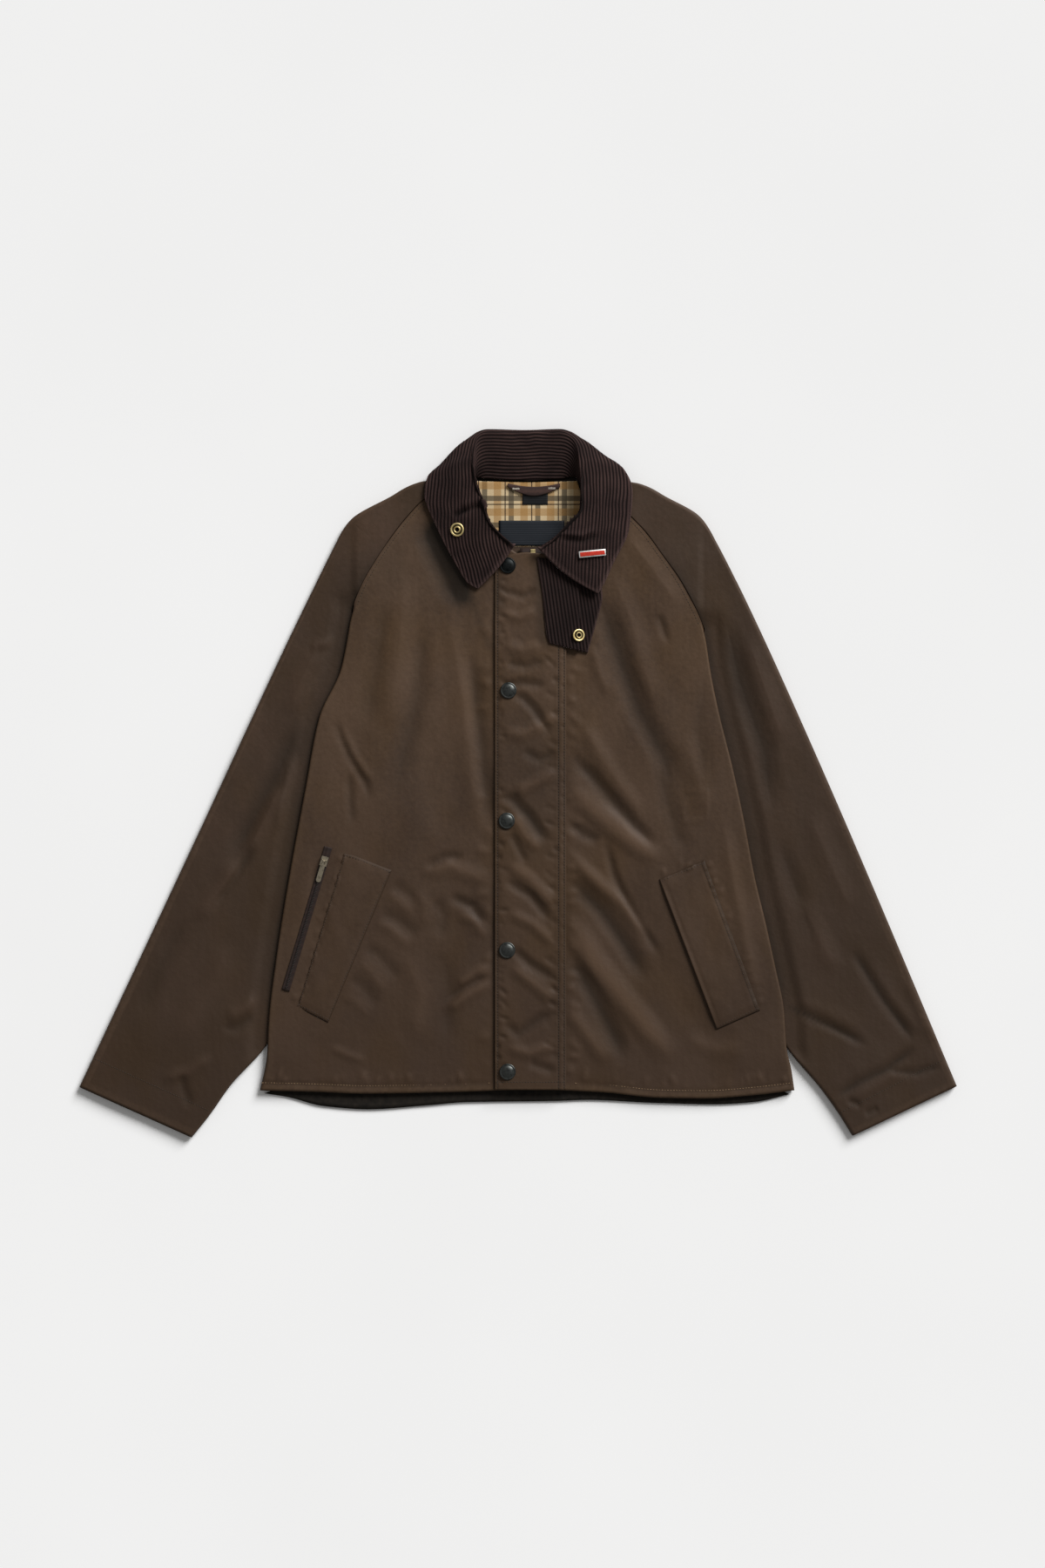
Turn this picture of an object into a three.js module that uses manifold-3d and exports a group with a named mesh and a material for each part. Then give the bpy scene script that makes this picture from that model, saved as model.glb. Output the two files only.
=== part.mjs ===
// A waxed cotton jacket laid flat on its back, front up, with its sleeves at its sides.
// Millimetres, +Z up. The origin is on the floor under the middle of the jacket, and +Y runs to the collar.
// "Right" and "left" are the wearer's, so the right side lies on -X. Places on a side are given as
// out, the distance from the middle line, and y.

import * as THREE from 'three';
import Module from 'manifold-3d';

const wasm = await Module();
wasm.setup();

// Walls and gaps
const CLOTH = 2.0;
const CORDUROY = 2.6;
const WELT = 1.6;
const LINING = 1.0;
const LABEL = 0.6;
const SEAM = 0.3;

// Heights of the outer faces above the floor
const BODY_TOP = 7.6;
const EDGE_RISE = 2.4;
const EDGE_REACH = 26;
const SLEEVE_TOP = 7.8;
const TUCKED_TOP = 5.2;
const TUCKED_OVER = TUCKED_TOP + SEAM;

// Centre front
const PLACKET = { left: -26.5, right: 55, hem: -350 };
const ZIP = { left: 2, right: 32, hem: -346, top: 270, tape: 1.2, chain: 6, chainRise: 0.6 };

const RIGHT = {
  sign: -1,
  underarm: -60,
  foldTop: 200,
  neckCorner: 341,
  // The turned edge of the body, from the hem to where it meets the armhole seam
  edge: [
    { y: -352, out: 296.5 }, { y: -331, out: 291.5 }, { y: -308, out: 287.5 }, { y: -274, out: 286 },
    { y: -191, out: 276 }, { y: -104, out: 262 }, { y: -1, out: 243 }, { y: 76, out: 228 },
    { y: 132, out: 203 }, { y: 200, out: 190 },
  ],
  // The front armhole seam, from the turned edge to the neck
  raglan: [
    { y: 200, out: 190 }, { y: 214, out: 185 }, { y: 232, out: 177 }, { y: 252, out: 165.5 },
    { y: 277, out: 149 }, { y: 309, out: 124 }, { y: 328, out: 104 }, { y: 341, out: 70 },
  ],
  // The hidden stretch of that seam, down to the underarm
  armhole: [{ y: -60, out: 158 }, { y: 60, out: 174 }, { y: 200, out: 190 }],
  backRaglan: [{ y: -60, out: 158 }, { y: 60, out: 127 }, { y: 215, out: 88 }, { y: 300, out: 65 }, { y: 355, out: 51.5 }],
  sleeveInner: [
    { y: -405, out: 374 }, { y: -380, out: 354 }, { y: -346, out: 330 }, { y: -300, out: 289 }, { y: -60, out: 158 },
  ],
  sleeveOuter: [
    { y: -347, out: 503 }, { y: -50, out: 363.5 }, { y: 166, out: 263 }, { y: 224, out: 235 }, { y: 275, out: 210 },
    { y: 292, out: 201 }, { y: 305, out: 190 }, { y: 328, out: 149 }, { y: 346, out: 113 }, { y: 350, out: 76 },
  ],
  // Where each station across the sleeve meets the outer edge and the top and bottom layers' inner edges
  stations: [
    { outer: -347, top: -405, bottom: -405 }, { outer: -280, top: -346, bottom: -346 },
    { outer: -226, top: -300, bottom: -300 }, { outer: -106, top: -183, bottom: -183 },
    { outer: 21, top: -60, bottom: -60 }, { outer: 122, top: 45, bottom: 60 },
    { outer: 200, top: 135, bottom: 150 }, { outer: 245, top: 196, bottom: 215 },
    { outer: 282, top: 232, bottom: 262 }, { outer: 305, top: 268, bottom: 300 },
    { outer: 328, top: 309, bottom: 330 }, { outer: 349.9, top: 340.5, bottom: 354 },
  ],
  step: 188,
  stepTop: 290,
  hemCentre: { x: ZIP.left - SEAM, y: -350 },
  neckline: [
    { t: 0, x: -70, y: 341 }, { t: 0.25, x: -50, y: 326 }, { t: 0.5, x: -41, y: 303 },
    { t: 0.75, x: -26, y: 283 }, { t: 0.9, x: -8, y: 269 }, { t: 1, x: 1.7, y: 262 },
  ],
};

const LEFT = {
  sign: 1,
  underarm: -60,
  foldTop: 178,
  neckCorner: 338,
  edge: [
    { y: -352, out: 317 }, { y: -326, out: 313 }, { y: -303, out: 307.5 }, { y: -256, out: 304 },
    { y: -215, out: 295.7 }, { y: -157, out: 283 }, { y: -107, out: 271 }, { y: -41, out: 258.5 },
    { y: 17, out: 246 }, { y: 83, out: 229.6 }, { y: 125, out: 221 }, { y: 178, out: 213 },
  ],
  raglan: [
    { y: 178, out: 213 }, { y: 197.5, out: 204.5 }, { y: 217, out: 194.6 }, { y: 237, out: 183 },
    { y: 260.5, out: 166 }, { y: 287, out: 146.5 }, { y: 303, out: 131.5 }, { y: 324, out: 109 }, { y: 338, out: 86 },
  ],
  armhole: [{ y: -60, out: 170 }, { y: 60, out: 190 }, { y: 178, out: 213 }],
  backRaglan: [{ y: -60, out: 170 }, { y: 60, out: 140 }, { y: 215, out: 102 }, { y: 300, out: 80 }, { y: 355, out: 66 }],
  sleeveInner: [
    { y: -403, out: 383 }, { y: -377, out: 366.7 }, { y: -351.5, out: 348.5 }, { y: -303, out: 308.5 }, { y: -60, out: 170 },
  ],
  sleeveOuter: [
    { y: -346, out: 503 }, { y: -50, out: 378 }, { y: 116, out: 305 }, { y: 173, out: 279 }, { y: 232, out: 251 },
    { y: 277, out: 228 }, { y: 298, out: 216 }, { y: 309, out: 206 }, { y: 328.5, out: 171 }, { y: 344, out: 140 },
    { y: 350, out: 94 },
  ],
  stations: [
    { outer: -346, top: -403, bottom: -403 }, { outer: -283, top: -351.5, bottom: -351.5 },
    { outer: -230, top: -303, bottom: -303 }, { outer: -112, top: -186, bottom: -186 },
    { outer: 14, top: -60, bottom: -60 }, { outer: 112, top: 40, bottom: 56 },
    { outer: 187, top: 122, bottom: 142 }, { outer: 236, top: 176, bottom: 206 },
    { outer: 278, top: 216, bottom: 256 }, { outer: 306, top: 256, bottom: 296 },
    { outer: 329, top: 302, bottom: 328 }, { outer: 349.9, top: 337.5, bottom: 354 },
  ],
  step: 209,
  stepTop: 300,
  hemCentre: { x: ZIP.right + SEAM, y: -350 },
  neckline: [
    { t: 0, x: 86, y: 338 }, { t: 0.25, x: 76, y: 318 }, { t: 0.5, x: 62, y: 296 },
    { t: 0.75, x: 46, y: 279 }, { t: 0.9, x: 36, y: 266 }, { t: 1, x: 32.3, y: 258 },
  ],
};

// Front hem, as the distance that it dips below a straight line between its ends
const HEM_DIP = {
  right: [{ t: 0, dip: 0 }, { t: 0.22, dip: 1.8 }, { t: 0.4, dip: 4 }, { t: 0.75, dip: 2.5 }, { t: 1, dip: 0 }],
  left: [{ t: 0, dip: 0 }, { t: 0.18, dip: 6 }, { t: 0.36, dip: 9.6 }, { t: 0.54, dip: 9 }, { t: 0.77, dip: 3 }, { t: 1, dip: 0 }],
};

const BACK_HEM = [
  { x: -291, y: -355 }, { x: -265, y: -359 }, { x: -223, y: -369.6 }, { x: -172, y: -373.3 }, { x: -108, y: -369 },
  { x: -58, y: -365 }, { x: 42, y: -363.7 }, { x: 79, y: -362.5 }, { x: 158, y: -366 }, { x: 224, y: -367.5 },
  { x: 270, y: -365 }, { x: 311, y: -356 },
];

// The largest folds of the front and of the sleeves: a ridge where the rise is positive, else a trough
const BODY_FOLDS = [
  { x1: -112, y1: 210, x2: -128, y2: 15, width: 26, rise: 0.8 },
  { x1: -72, y1: 205, x2: -34, y2: 50, width: 20, rise: -1.0 },
  { x1: -205, y1: 75, x2: -196, y2: -55, width: 12, rise: -0.7 },
  { x1: -78, y1: -136, x2: -34, y2: -170, width: 11, rise: 0.9 },
  { x1: 90, y1: 235, x2: 139, y2: 104, width: 28, rise: -0.9 },
  { x1: 62, y1: -4, x2: 160, y2: -86, width: 13, rise: 1.1 },
  { x1: 62, y1: -68, x2: 130, y2: -152, width: 14, rise: 1.0 },
  { x1: 62, y1: -160, x2: 185, y2: -335, width: 18, rise: 1.1 },
  { x1: -20, y1: 88, x2: 44, y2: 30, width: 12, rise: -0.8 },
  { x1: -20, y1: -108, x2: 46, y2: -160, width: 12, rise: -0.7 },
];
const SLEEVE_FOLDS = {
  right: [
    { x1: -246, y1: 82, x2: -330, y2: -88, width: 20, rise: -1.0 },
    { x1: -318, y1: -92, x2: -369, y2: -155, width: 16, rise: 0.9 },
    { x1: -272, y1: -8, x2: -311, y2: -82, width: 14, rise: 0.8 },
  ],
  left: [
    { x1: 240, y1: 195, x2: 290, y2: 10, width: 18, rise: -1.0 },
    { x1: 390, y1: -205, x2: 454, y2: -298, width: 13, rise: -1.3 },
    { x1: 313, y1: -256, x2: 410, y2: -302, width: 13, rise: 1.2 },
    { x1: 364, y1: -350, x2: 452, y2: -300, width: 12, rise: -1.3 },
  ],
};

// Stations along the collar, from the right front end round the back of the neck to the left front end.
// n is the neck seam, r the roll, q the outermost point of the fall, and under the reach of the stretch
// that turns under it at the back. A bow bends the fall's way sideways. Heights are those of the face that shows.
const COLLAR = [
  { nx: -8, ny: 267, rx: -4, ry: 272, rz: 18.5, qx: -46, qy: 223, qz: 12, under: 0, bow: -2.5 },
  { nx: -25, ny: 284, rx: -20.5, ry: 286, rz: 21, qx: -57, qy: 229, qz: 12, under: 0, bow: 0 },
  { nx: -37, ny: 300, rx: -32, ry: 300, rz: 23, qx: -73, qy: 254, qz: 12.5, under: 0, bow: 0 },
  { nx: -44, ny: 322, rx: -39, ry: 322, rz: 24, qx: -93, qy: 292, qz: 13, under: 0, bow: 0 },
  { nx: -50, ny: 340, rx: -47.5, ry: 346, rz: 24, qx: -107.5, qy: 330, qz: 13.5, under: 0, bow: 0 },
  { nx: -51, ny: 349, rx: -51, ry: 368, rz: 22, qx: -104, qy: 351, qz: 13, under: 0, bow: 0 },
  { nx: -50, ny: 351.5, rx: -50, ry: 383, rz: 18, qx: -88, qy: 366, qz: 11, under: 12, bow: 0 },
  { nx: -47, ny: 351.5, rx: -47, ry: 396, rz: 14.5, qx: -62, qy: 392, qz: 10.5, under: 44, bow: 0 },
  { nx: -36, ny: 349.8, rx: -33, ry: 402, rz: 13, qx: -34, qy: 405, qz: 11, under: 60, bow: 0 },
  { nx: 6, ny: 348, rx: 6, ry: 401, rz: 12.5, qx: 6, qy: 404, qz: 10.5, under: 60, bow: 0 },
  { nx: 48, ny: 350, rx: 46, ry: 402, rz: 13.5, qx: 47, qy: 405, qz: 11, under: 60, bow: 0 },
  { nx: 60, ny: 352, rx: 62, ry: 395, rz: 15, qx: 74, qy: 394, qz: 10.5, under: 46, bow: 0 },
  { nx: 65, ny: 352, rx: 68, ry: 382, rz: 19, qx: 98, qy: 376, qz: 11, under: 18, bow: 0 },
  { nx: 68, ny: 349, rx: 70, ry: 366, rz: 23, qx: 122, qy: 359, qz: 13, under: 0, bow: 0 },
  { nx: 74, ny: 336, rx: 71, ry: 344, rz: 25, qx: 131, qy: 334, qz: 13.5, under: 0, bow: 0 },
  { nx: 74, ny: 314, rx: 70, ry: 314, rz: 25, qx: 127, qy: 291, qz: 14, under: 0, bow: 0 },
  { nx: 61, ny: 294, rx: 57, ry: 298, rz: 24.5, qx: 110, qy: 254, qz: 16.5, under: 0, bow: 0 },
  { nx: 44, ny: 277, rx: 42, ry: 282, rz: 22.5, qx: 99, qy: 230, qz: 18, under: 0, bow: 1.5 },
  { nx: 28, ny: 266, rx: 22.5, ry: 269, rz: 20.5, qx: 91.5, qy: 217, qz: 18, under: 0, bow: 5 },
];
const COLLAR_COLUMNS = { stand: 3, fall: 10 };
const COLLAR_ROWS_PER_STATION = 2;

const TAB = {
  left: [{ y: 260, x: 21 }, { y: 215, x: 28 }, { y: 172, x: 32 }, { y: 160.5, x: 35.5 }],
  right: [{ y: 246, x: 93 }, { y: 215, x: 96.5 }, { y: 185, x: 89.5 }, { y: 150, x: 79.5 }],
  rows: 7,
  columns: 6,
};

const SNAP = { radius: 9.3, height: 2.8, sides: 20 };
const SNAPS = [{ x: -12, y: 250 }, { x: -11, y: 107 }, { x: -13, y: -42 }, { x: -12.5, y: -190 }, { x: -12, y: -329 }];
const COLLAR_STUD = { x: -69.4, y: 290.3, radius: 7.9, hole: 2.4, height: 1.8 };
const TAB_STUD = { x: 69, y: 170, radius: 7.1, hole: 2.2, height: 1.8 };
const PIN = { x: 84.5, y: 262.8, length: 31, width: 7.4, thick: 1.5, turn: 6 };

const WELT_LEFT = [{ x: 161.5, y: -109 }, { x: 213, y: -87 }, { x: 277, y: -259 }, { x: 227.5, y: -281 }];
const WELT_RIGHT = [{ x: -199, y: -77 }, { x: -144.5, y: -98.5 }, { x: -217.5, y: -273 }, { x: -253, y: -255 }];
const POCKET_ZIP = { x1: -217, y1: -72, x2: -266, y2: -236, width: 9, thick: 1.2 };
const SLIDER = { along: 17, length: 11, width: 8, height: 2.2, lug: 1.1, lugGap: 3.0, lugLength: 3.6, pin: 0.5 };
const PULL = { length: 25, width: 5.5, thick: 1.2, ring: 1.5, hole: 0.85, ringWidth: 2.3, droop: 7, turn: 6 };

const NECK_LABEL = { x1: -22, x2: 53, y1: 273, y2: 302 };
const SIZE_TAB = { x1: 5, x2: 34, y1: 320, y2: 340 };
const LOOP = { x1: -12, x2: 48, y: 343, sag: 11, width: 6.5, thick: 1.4 };

const clamp = (value) => Math.min(1, Math.max(0, value));
const mix = (a, b, k) => a + (b - a) * k;
const ease = (value) => { const k = clamp(value); return k * k * (3 - 2 * k); };

// One column of a table as a smooth function of another, with no overshoot between the rows
function column(table, at, key) {
  const rows = [...table].sort((a, b) => a[at] - b[at]);
  const slopes = rows.slice(1).map((row, i) => (row[key] - rows[i][key]) / (row[at] - rows[i][at]));
  const tangents = rows.map((row, i) => {
    if (i === 0) return slopes[0];
    if (i === rows.length - 1) return slopes[i - 1];
    const [before, after] = [slopes[i - 1], slopes[i]];
    return before * after <= 0 ? 0 : (2 * before * after) / (before + after);
  });
  return (value) => {
    let i = 0;
    while (i < rows.length - 2 && value > rows[i + 1][at]) i += 1;
    const span = rows[i + 1][at] - rows[i][at];
    const k = clamp((value - rows[i][at]) / span);
    const [a, b] = [rows[i][key], rows[i + 1][key]];
    const bend = (k * (1 - k) * (1 - k) * tangents[i] - k * k * (1 - k) * tangents[i + 1]) * span;
    return mix(a, b, k * k * (3 - 2 * k)) + bend;
  };
}

// How far the folds lift a point: each is a rounded trough or ridge along a line, fading at both ends
function foldLift(folds, x, y) {
  let lift = 0;
  for (const fold of folds) {
    const [dx, dy] = [fold.x2 - fold.x1, fold.y2 - fold.y1];
    const length = Math.hypot(dx, dy);
    const along = ((x - fold.x1) * dx + (y - fold.y1) * dy) / (length * length);
    const across = Math.abs((x - fold.x1) * dy - (y - fold.y1) * dx) / length;
    lift += fold.rise * ease(1 - across / fold.width) * ease(along / 0.2) * ease((1 - along) / 0.2);
  }
  return lift;
}

// A closed cloth wall: the grid holds the points of its outer face, and the inner face lies one thickness behind.
// Seen from outside, rows run up the grid and columns run to the right.
function clothWall(grid, thickness) {
  const [rows, columns] = [grid.length, grid[0].length];
  const at = (i, j) => grid[Math.min(rows - 1, Math.max(0, i))][Math.min(columns - 1, Math.max(0, j))];
  const positions = [];
  const inner = [];
  for (let i = 0; i < rows; i += 1) {
    for (let j = 0; j < columns; j += 1) {
      const up = at(i + 1, j).clone().sub(at(i - 1, j));
      const right = at(i, j + 1).clone().sub(at(i, j - 1));
      const normal = right.cross(up).normalize();
      positions.push(...grid[i][j].toArray());
      inner.push(...grid[i][j].clone().addScaledVector(normal, -thickness).toArray());
    }
  }
  const count = rows * columns;
  const index = [];
  const quad = (a, b, c, d) => index.push(a, b, c, a, c, d);
  const id = (i, j) => i * columns + j;
  for (let i = 0; i < rows - 1; i += 1) {
    for (let j = 0; j < columns - 1; j += 1) {
      quad(id(i, j), id(i, j + 1), id(i + 1, j + 1), id(i + 1, j));
      quad(count + id(i, j), count + id(i + 1, j), count + id(i + 1, j + 1), count + id(i, j + 1));
    }
  }
  const rim = (a, b) => quad(a, count + a, count + b, b);
  for (let j = 0; j < columns - 1; j += 1) {
    rim(id(0, j), id(0, j + 1));
    rim(id(rows - 1, j + 1), id(rows - 1, j));
  }
  for (let i = 0; i < rows - 1; i += 1) {
    rim(id(i + 1, 0), id(i, 0));
    rim(id(i, columns - 1), id(i + 1, columns - 1));
  }
  const geometry = new THREE.BufferGeometry();
  geometry.setAttribute('position', new THREE.Float32BufferAttribute([...positions, ...inner], 3));
  geometry.setIndex(index);
  return geometry;
}

// A grid from a function of the row and column, each from 0 to 1
function gridOf(rows, columns, point) {
  const steps = (count) => Array.from({ length: count }, (_, i) => i / (count - 1));
  return steps(rows).map((v) => steps(columns).map((u) => new THREE.Vector3(...point(u, v))));
}

// Points along a line of points, at even distances
function evenly(line, count) {
  const lengths = [0];
  line.slice(1).forEach((point, i) => lengths.push(lengths[i] + point.distanceTo(line[i])));
  const total = lengths.at(-1);
  return Array.from({ length: count }, (_, n) => {
    const wanted = (total * n) / (count - 1);
    let i = 1;
    while (i < line.length - 1 && lengths[i] < wanted) i += 1;
    const k = clamp((wanted - lengths[i - 1]) / (lengths[i] - lengths[i - 1]));
    return line[i - 1].clone().lerp(line[i], k);
  });
}

// A side with its tables turned into functions
function cut(side) {
  return {
    ...side,
    edgeAt: column(side.edge, 'y', 'out'),
    raglanAt: column(side.raglan, 'y', 'out'),
    armholeAt: column(side.armhole, 'y', 'out'),
    backRaglanAt: column(side.backRaglan, 'y', 'out'),
    innerAt: column(side.sleeveInner, 'y', 'out'),
    outerAt: column(side.sleeveOuter, 'y', 'out'),
    neckX: column(side.neckline, 't', 'x'),
    neckY: column(side.neckline, 't', 'y'),
  };
}
const right = cut(RIGHT);
const left = cut(LEFT);

const borderAt = (side, y) => (y < side.foldTop ? side.edgeAt(y) : side.raglanAt(y));

// How far in from the turned edge the cloth that is turned under reaches
function turnedUnder(side, y) {
  if (y > side.foldTop) return 0;
  const end = y > side.underarm ? side.armholeAt(y) : side.innerAt(Math.max(y, -300)) - 14;
  return side.edgeAt(y) - end;
}

// Height of the front's outer face: level in the middle, and raised where it lies on what is turned under it
function bodyTop(x, y) {
  const side = x < 0 ? right : left;
  const up = ease((y + 352) / 45) * (1 - 0.6 * ease((y - side.foldTop) / 120));
  const inside = borderAt(side, y) - Math.abs(x) - turnedUnder(side, y);
  return BODY_TOP + EDGE_RISE * up * ease(1 - (inside - EDGE_REACH) / (2 * EDGE_REACH)) + foldLift(BODY_FOLDS, x, y);
}

// Height of the underside where the front is turned under: on the floor at the hem, then over the sleeve
const turnHeight = (y) => TUCKED_OVER * ease((y + 330) / 26);

// Where the side seam lies on the floor
function sideSeamAt(side, y) {
  const beside = side.innerAt(Math.max(y, -300)) - mix(14, 0.4, ease((y - side.underarm + 22) / 20));
  const atHem = side.edgeAt(y) - 14;
  return mix(atHem, beside, ease((y + 335) / 40));
}

// The front's turned edge at one height: an arc round the fold, a flat stretch back under and, below the
// underarm, a slope down to the side seam. Above the fold the arc unrolls into the seam's plain edge.
function turnedEdge(side, y) {
  const border = borderAt(side, y);
  const turn = 1 - ease((y - side.foldTop + 20) / 32);
  const under = turnHeight(y);
  const top = bodyTop(side.sign * border, y);
  const radius = (top - under) / 2;
  const put = (out, z) => new THREE.Vector3(side.sign * out, y, z);
  const angle = Math.PI * turn;
  const inset = mix(PLAIN_EDGE, radius, turn);
  const start = border - inset;
  const startTop = bodyTop(side.sign * start, y);
  const rolled = ease(turn * 3);
  const arc = Array.from({ length: ARC_COLUMNS }, (_, n) => {
    const k = n / (ARC_COLUMNS - 1);
    const plain = [start + 0.6 * inset * k, startTop];
    const round = [start + radius * Math.sin(angle * k), top - radius * (1 - Math.cos(angle * k))];
    return put(mix(plain[0], round[0], rolled), mix(plain[1], round[1], rolled));
  });
  const last = arc.at(-1);
  const out = Math.abs(last.x);
  let [brink, end] = [last, last];
  if (turn < 1) {
    const step = mix(0.2 * PLAIN_EDGE, 0.8, rolled);
    const ahead = (n) => put(out + n * step * Math.cos(angle * rolled), last.z - n * step * Math.sin(angle * rolled));
    [brink, end] = [ahead(1), ahead(2)];
  } else if (y > side.underarm - 4) {
    end = put(Math.min(side.armholeAt(Math.max(y, side.underarm)), out - 1.5), under);
    brink = last.clone().lerp(end, 0.5);
  } else {
    const seam = sideSeamAt(side, y);
    end = put(seam, under * ease((y - side.underarm + 40) / 22));
    brink = put(Math.min(out - 0.6, Math.max(side.innerAt(y) + 1, seam + 9)), under);
  }
  const flat = Array.from({ length: FLAT_COLUMNS }, (_, n) => last.clone().lerp(brink, (n + 1) / FLAT_COLUMNS));
  const slope = Array.from({ length: SLOPE_COLUMNS }, (_, n) => {
    const k = (n + 1) / SLOPE_COLUMNS;
    const point = brink.clone().lerp(end, k);
    point.z = mix(brink.z, end.z, turn === 1 ? ease(k * 1.3) : k);
    return point;
  });
  return [...arc, ...flat, ...slope];
}

const HEM_Y = -351;
const FOLD_Y = 200;
const FRONT_ROWS = { below: 21, above: 6 };
const FRONT_COLUMNS = 13;
const ARC_COLUMNS = 5;
const FLAT_COLUMNS = 2;
const SLOPE_COLUMNS = 4;
const PLAIN_EDGE = 4;

// Where the rows of the fronts and of the back end at the sides
const sideRows = Array.from({ length: FRONT_ROWS.below }, (_, n) => mix(HEM_Y, FOLD_Y, n / (FRONT_ROWS.below - 1)));
const rowsAbove = (side) => Array.from({ length: FRONT_ROWS.above }, (_, n) => (
  mix(FOLD_Y, side.neckCorner, (n + 1) / FRONT_ROWS.above)
));

// One front: rows run from the centre edge to the side, closer together near the turned edge
function frontGrid(side, hemDip) {
  const dipAt = column(hemDip, 't', 'dip');
  const centre = { x: side.hemCentre.x, low: side.hemCentre.y, top: side.neckY(1) };
  const [hemOut, neckOut] = [borderAt(side, HEM_Y), borderAt(side, side.neckCorner)];
  return [...sideRows, ...rowsAbove(side)].map((sideY) => {
    const v = (sideY - HEM_Y) / (side.neckCorner - HEM_Y);
    const edge = turnedEdge(side, sideY);
    const sideOut = borderAt(side, sideY);
    const brink = 1 - Math.abs(edge[0].x) / sideOut;
    const row = [];
    for (let m = 0; m < FRONT_COLUMNS - 1; m += 1) {
      const t = mix(brink, 1, (1 - m / (FRONT_COLUMNS - 1)) ** 1.35);
      const straightTop = { x: mix(side.sign * neckOut, centre.x, t), y: mix(side.neckCorner, centre.top, t) };
      const x = mix(side.sign * sideOut, centre.x, t) + v * (side.neckX(t) - straightTop.x);
      const straight = mix(sideY, mix(centre.low, centre.top, v), t);
      const y = straight - (1 - v) ** 3 * dipAt(t) + v ** 2 * (side.neckY(t) - straightTop.y);
      row.push(new THREE.Vector3(x, y, bodyTop(x, y)));
    }
    row.push(...edge);
    return side.sign < 0 ? row.reverse() : row;
  });
}

// The height of a grid's upper face at a place, or null off its edge
function surfaceOf(grid) {
  const cells = [];
  for (let i = 0; i < grid.length - 1; i += 1) {
    for (let j = 0; j < grid[0].length - 1; j += 1) {
      cells.push([grid[i][j], grid[i][j + 1], grid[i + 1][j + 1]], [grid[i][j], grid[i + 1][j + 1], grid[i + 1][j]]);
    }
  }
  const cross = (a, b, x, y) => (b.x - a.x) * (y - a.y) - (b.y - a.y) * (x - a.x);
  return (x, y) => {
    let best = null;
    for (const [a, b, c] of cells) {
      const area = cross(a, b, c.x, c.y);
      if (area < 1e-6) continue;
      const [u, v, w] = [cross(b, c, x, y) / area, cross(c, a, x, y) / area, cross(a, b, x, y) / area];
      if (u >= -1e-6 && v >= -1e-6 && w >= -1e-6) best = Math.max(best ?? 0, u * a.z + v * b.z + w * c.z);
    }
    return best;
  };
}

// The height at which a piece just clears the surfaces under it, within a reach of the place
function restOn(surfaces, reach, fallback) {
  return (x, y) => {
    let best = fallback(x, y);
    for (const [dx, dy] of [[0, 0], [1, 0], [-1, 0], [0, 1], [0, -1], [1, 1], [-1, 1], [1, -1], [-1, -1]]) {
      for (const surface of surfaces) best = Math.max(best, surface(x + dx * reach, y + dy * reach) ?? 0);
    }
    return best;
  };
}

// Height of the sleeve's top layer: low where the body lies on it, and level with the front above the fold
function sleeveTop(side, folds, out, y) {
  const border = side.edgeAt(Math.min(y, side.foldTop));
  const covered = ease((border + 26 - out) / 14) * (1 - ease((y - side.foldTop) / 25)) * ease((y + 325) / 22);
  const raised = ease((side.step + 5 - out) / 10) * ease((y - side.foldTop) / 35);
  const level = bodyTop(side.sign * side.raglanAt(Math.max(y, side.foldTop)), y);
  const free = mix(SLEEVE_TOP, level, raised * ease((side.stepTop + 60 - y) / 60));
  return mix(free + foldLift(folds, side.sign * out, y), TUCKED_TOP, covered);
}

const SLEEVE_STEPS = [2, 2, 3, 3, 3, 2, 2, 3, 2, 2, 2];
const SLEEVE_COLUMNS = { curl: 2, covered: 3, rising: 2, top: 5, fold: 4, bottom: 2 };

function sleeve(side, folds) {
  const grid = [];
  side.stations.slice(1).forEach((to, n) => {
    const from = side.stations[n];
    const last = n === side.stations.length - 2;
    for (let k = 0; k < SLEEVE_STEPS[n] + (last ? 1 : 0); k += 1) {
      const share = k / SLEEVE_STEPS[n];
      const place = (key) => mix(from[key], to[key], share);
      grid.push(sleeveRow(side, folds, place('outer'), place('top'), place('bottom')));
    }
  });
  return clothWall(side.sign < 0 ? grid.map((row) => row.reverse()) : grid, CLOTH);
}

// How far along the top layer the sleeve leaves the body's cover or, higher up, reaches the step beside the seam
function splitAt(side, from, to) {
  const beyond = (k) => {
    const plan = from.clone().lerp(to, k);
    const line = plan.y < side.foldTop ? side.edgeAt(plan.y) + 12 : side.step - 5;
    return plan.x > line;
  };
  for (let k = 0.1; k < 0.8; k += 0.01) if (beyond(k)) return k;
  return 0.3;
}

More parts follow.
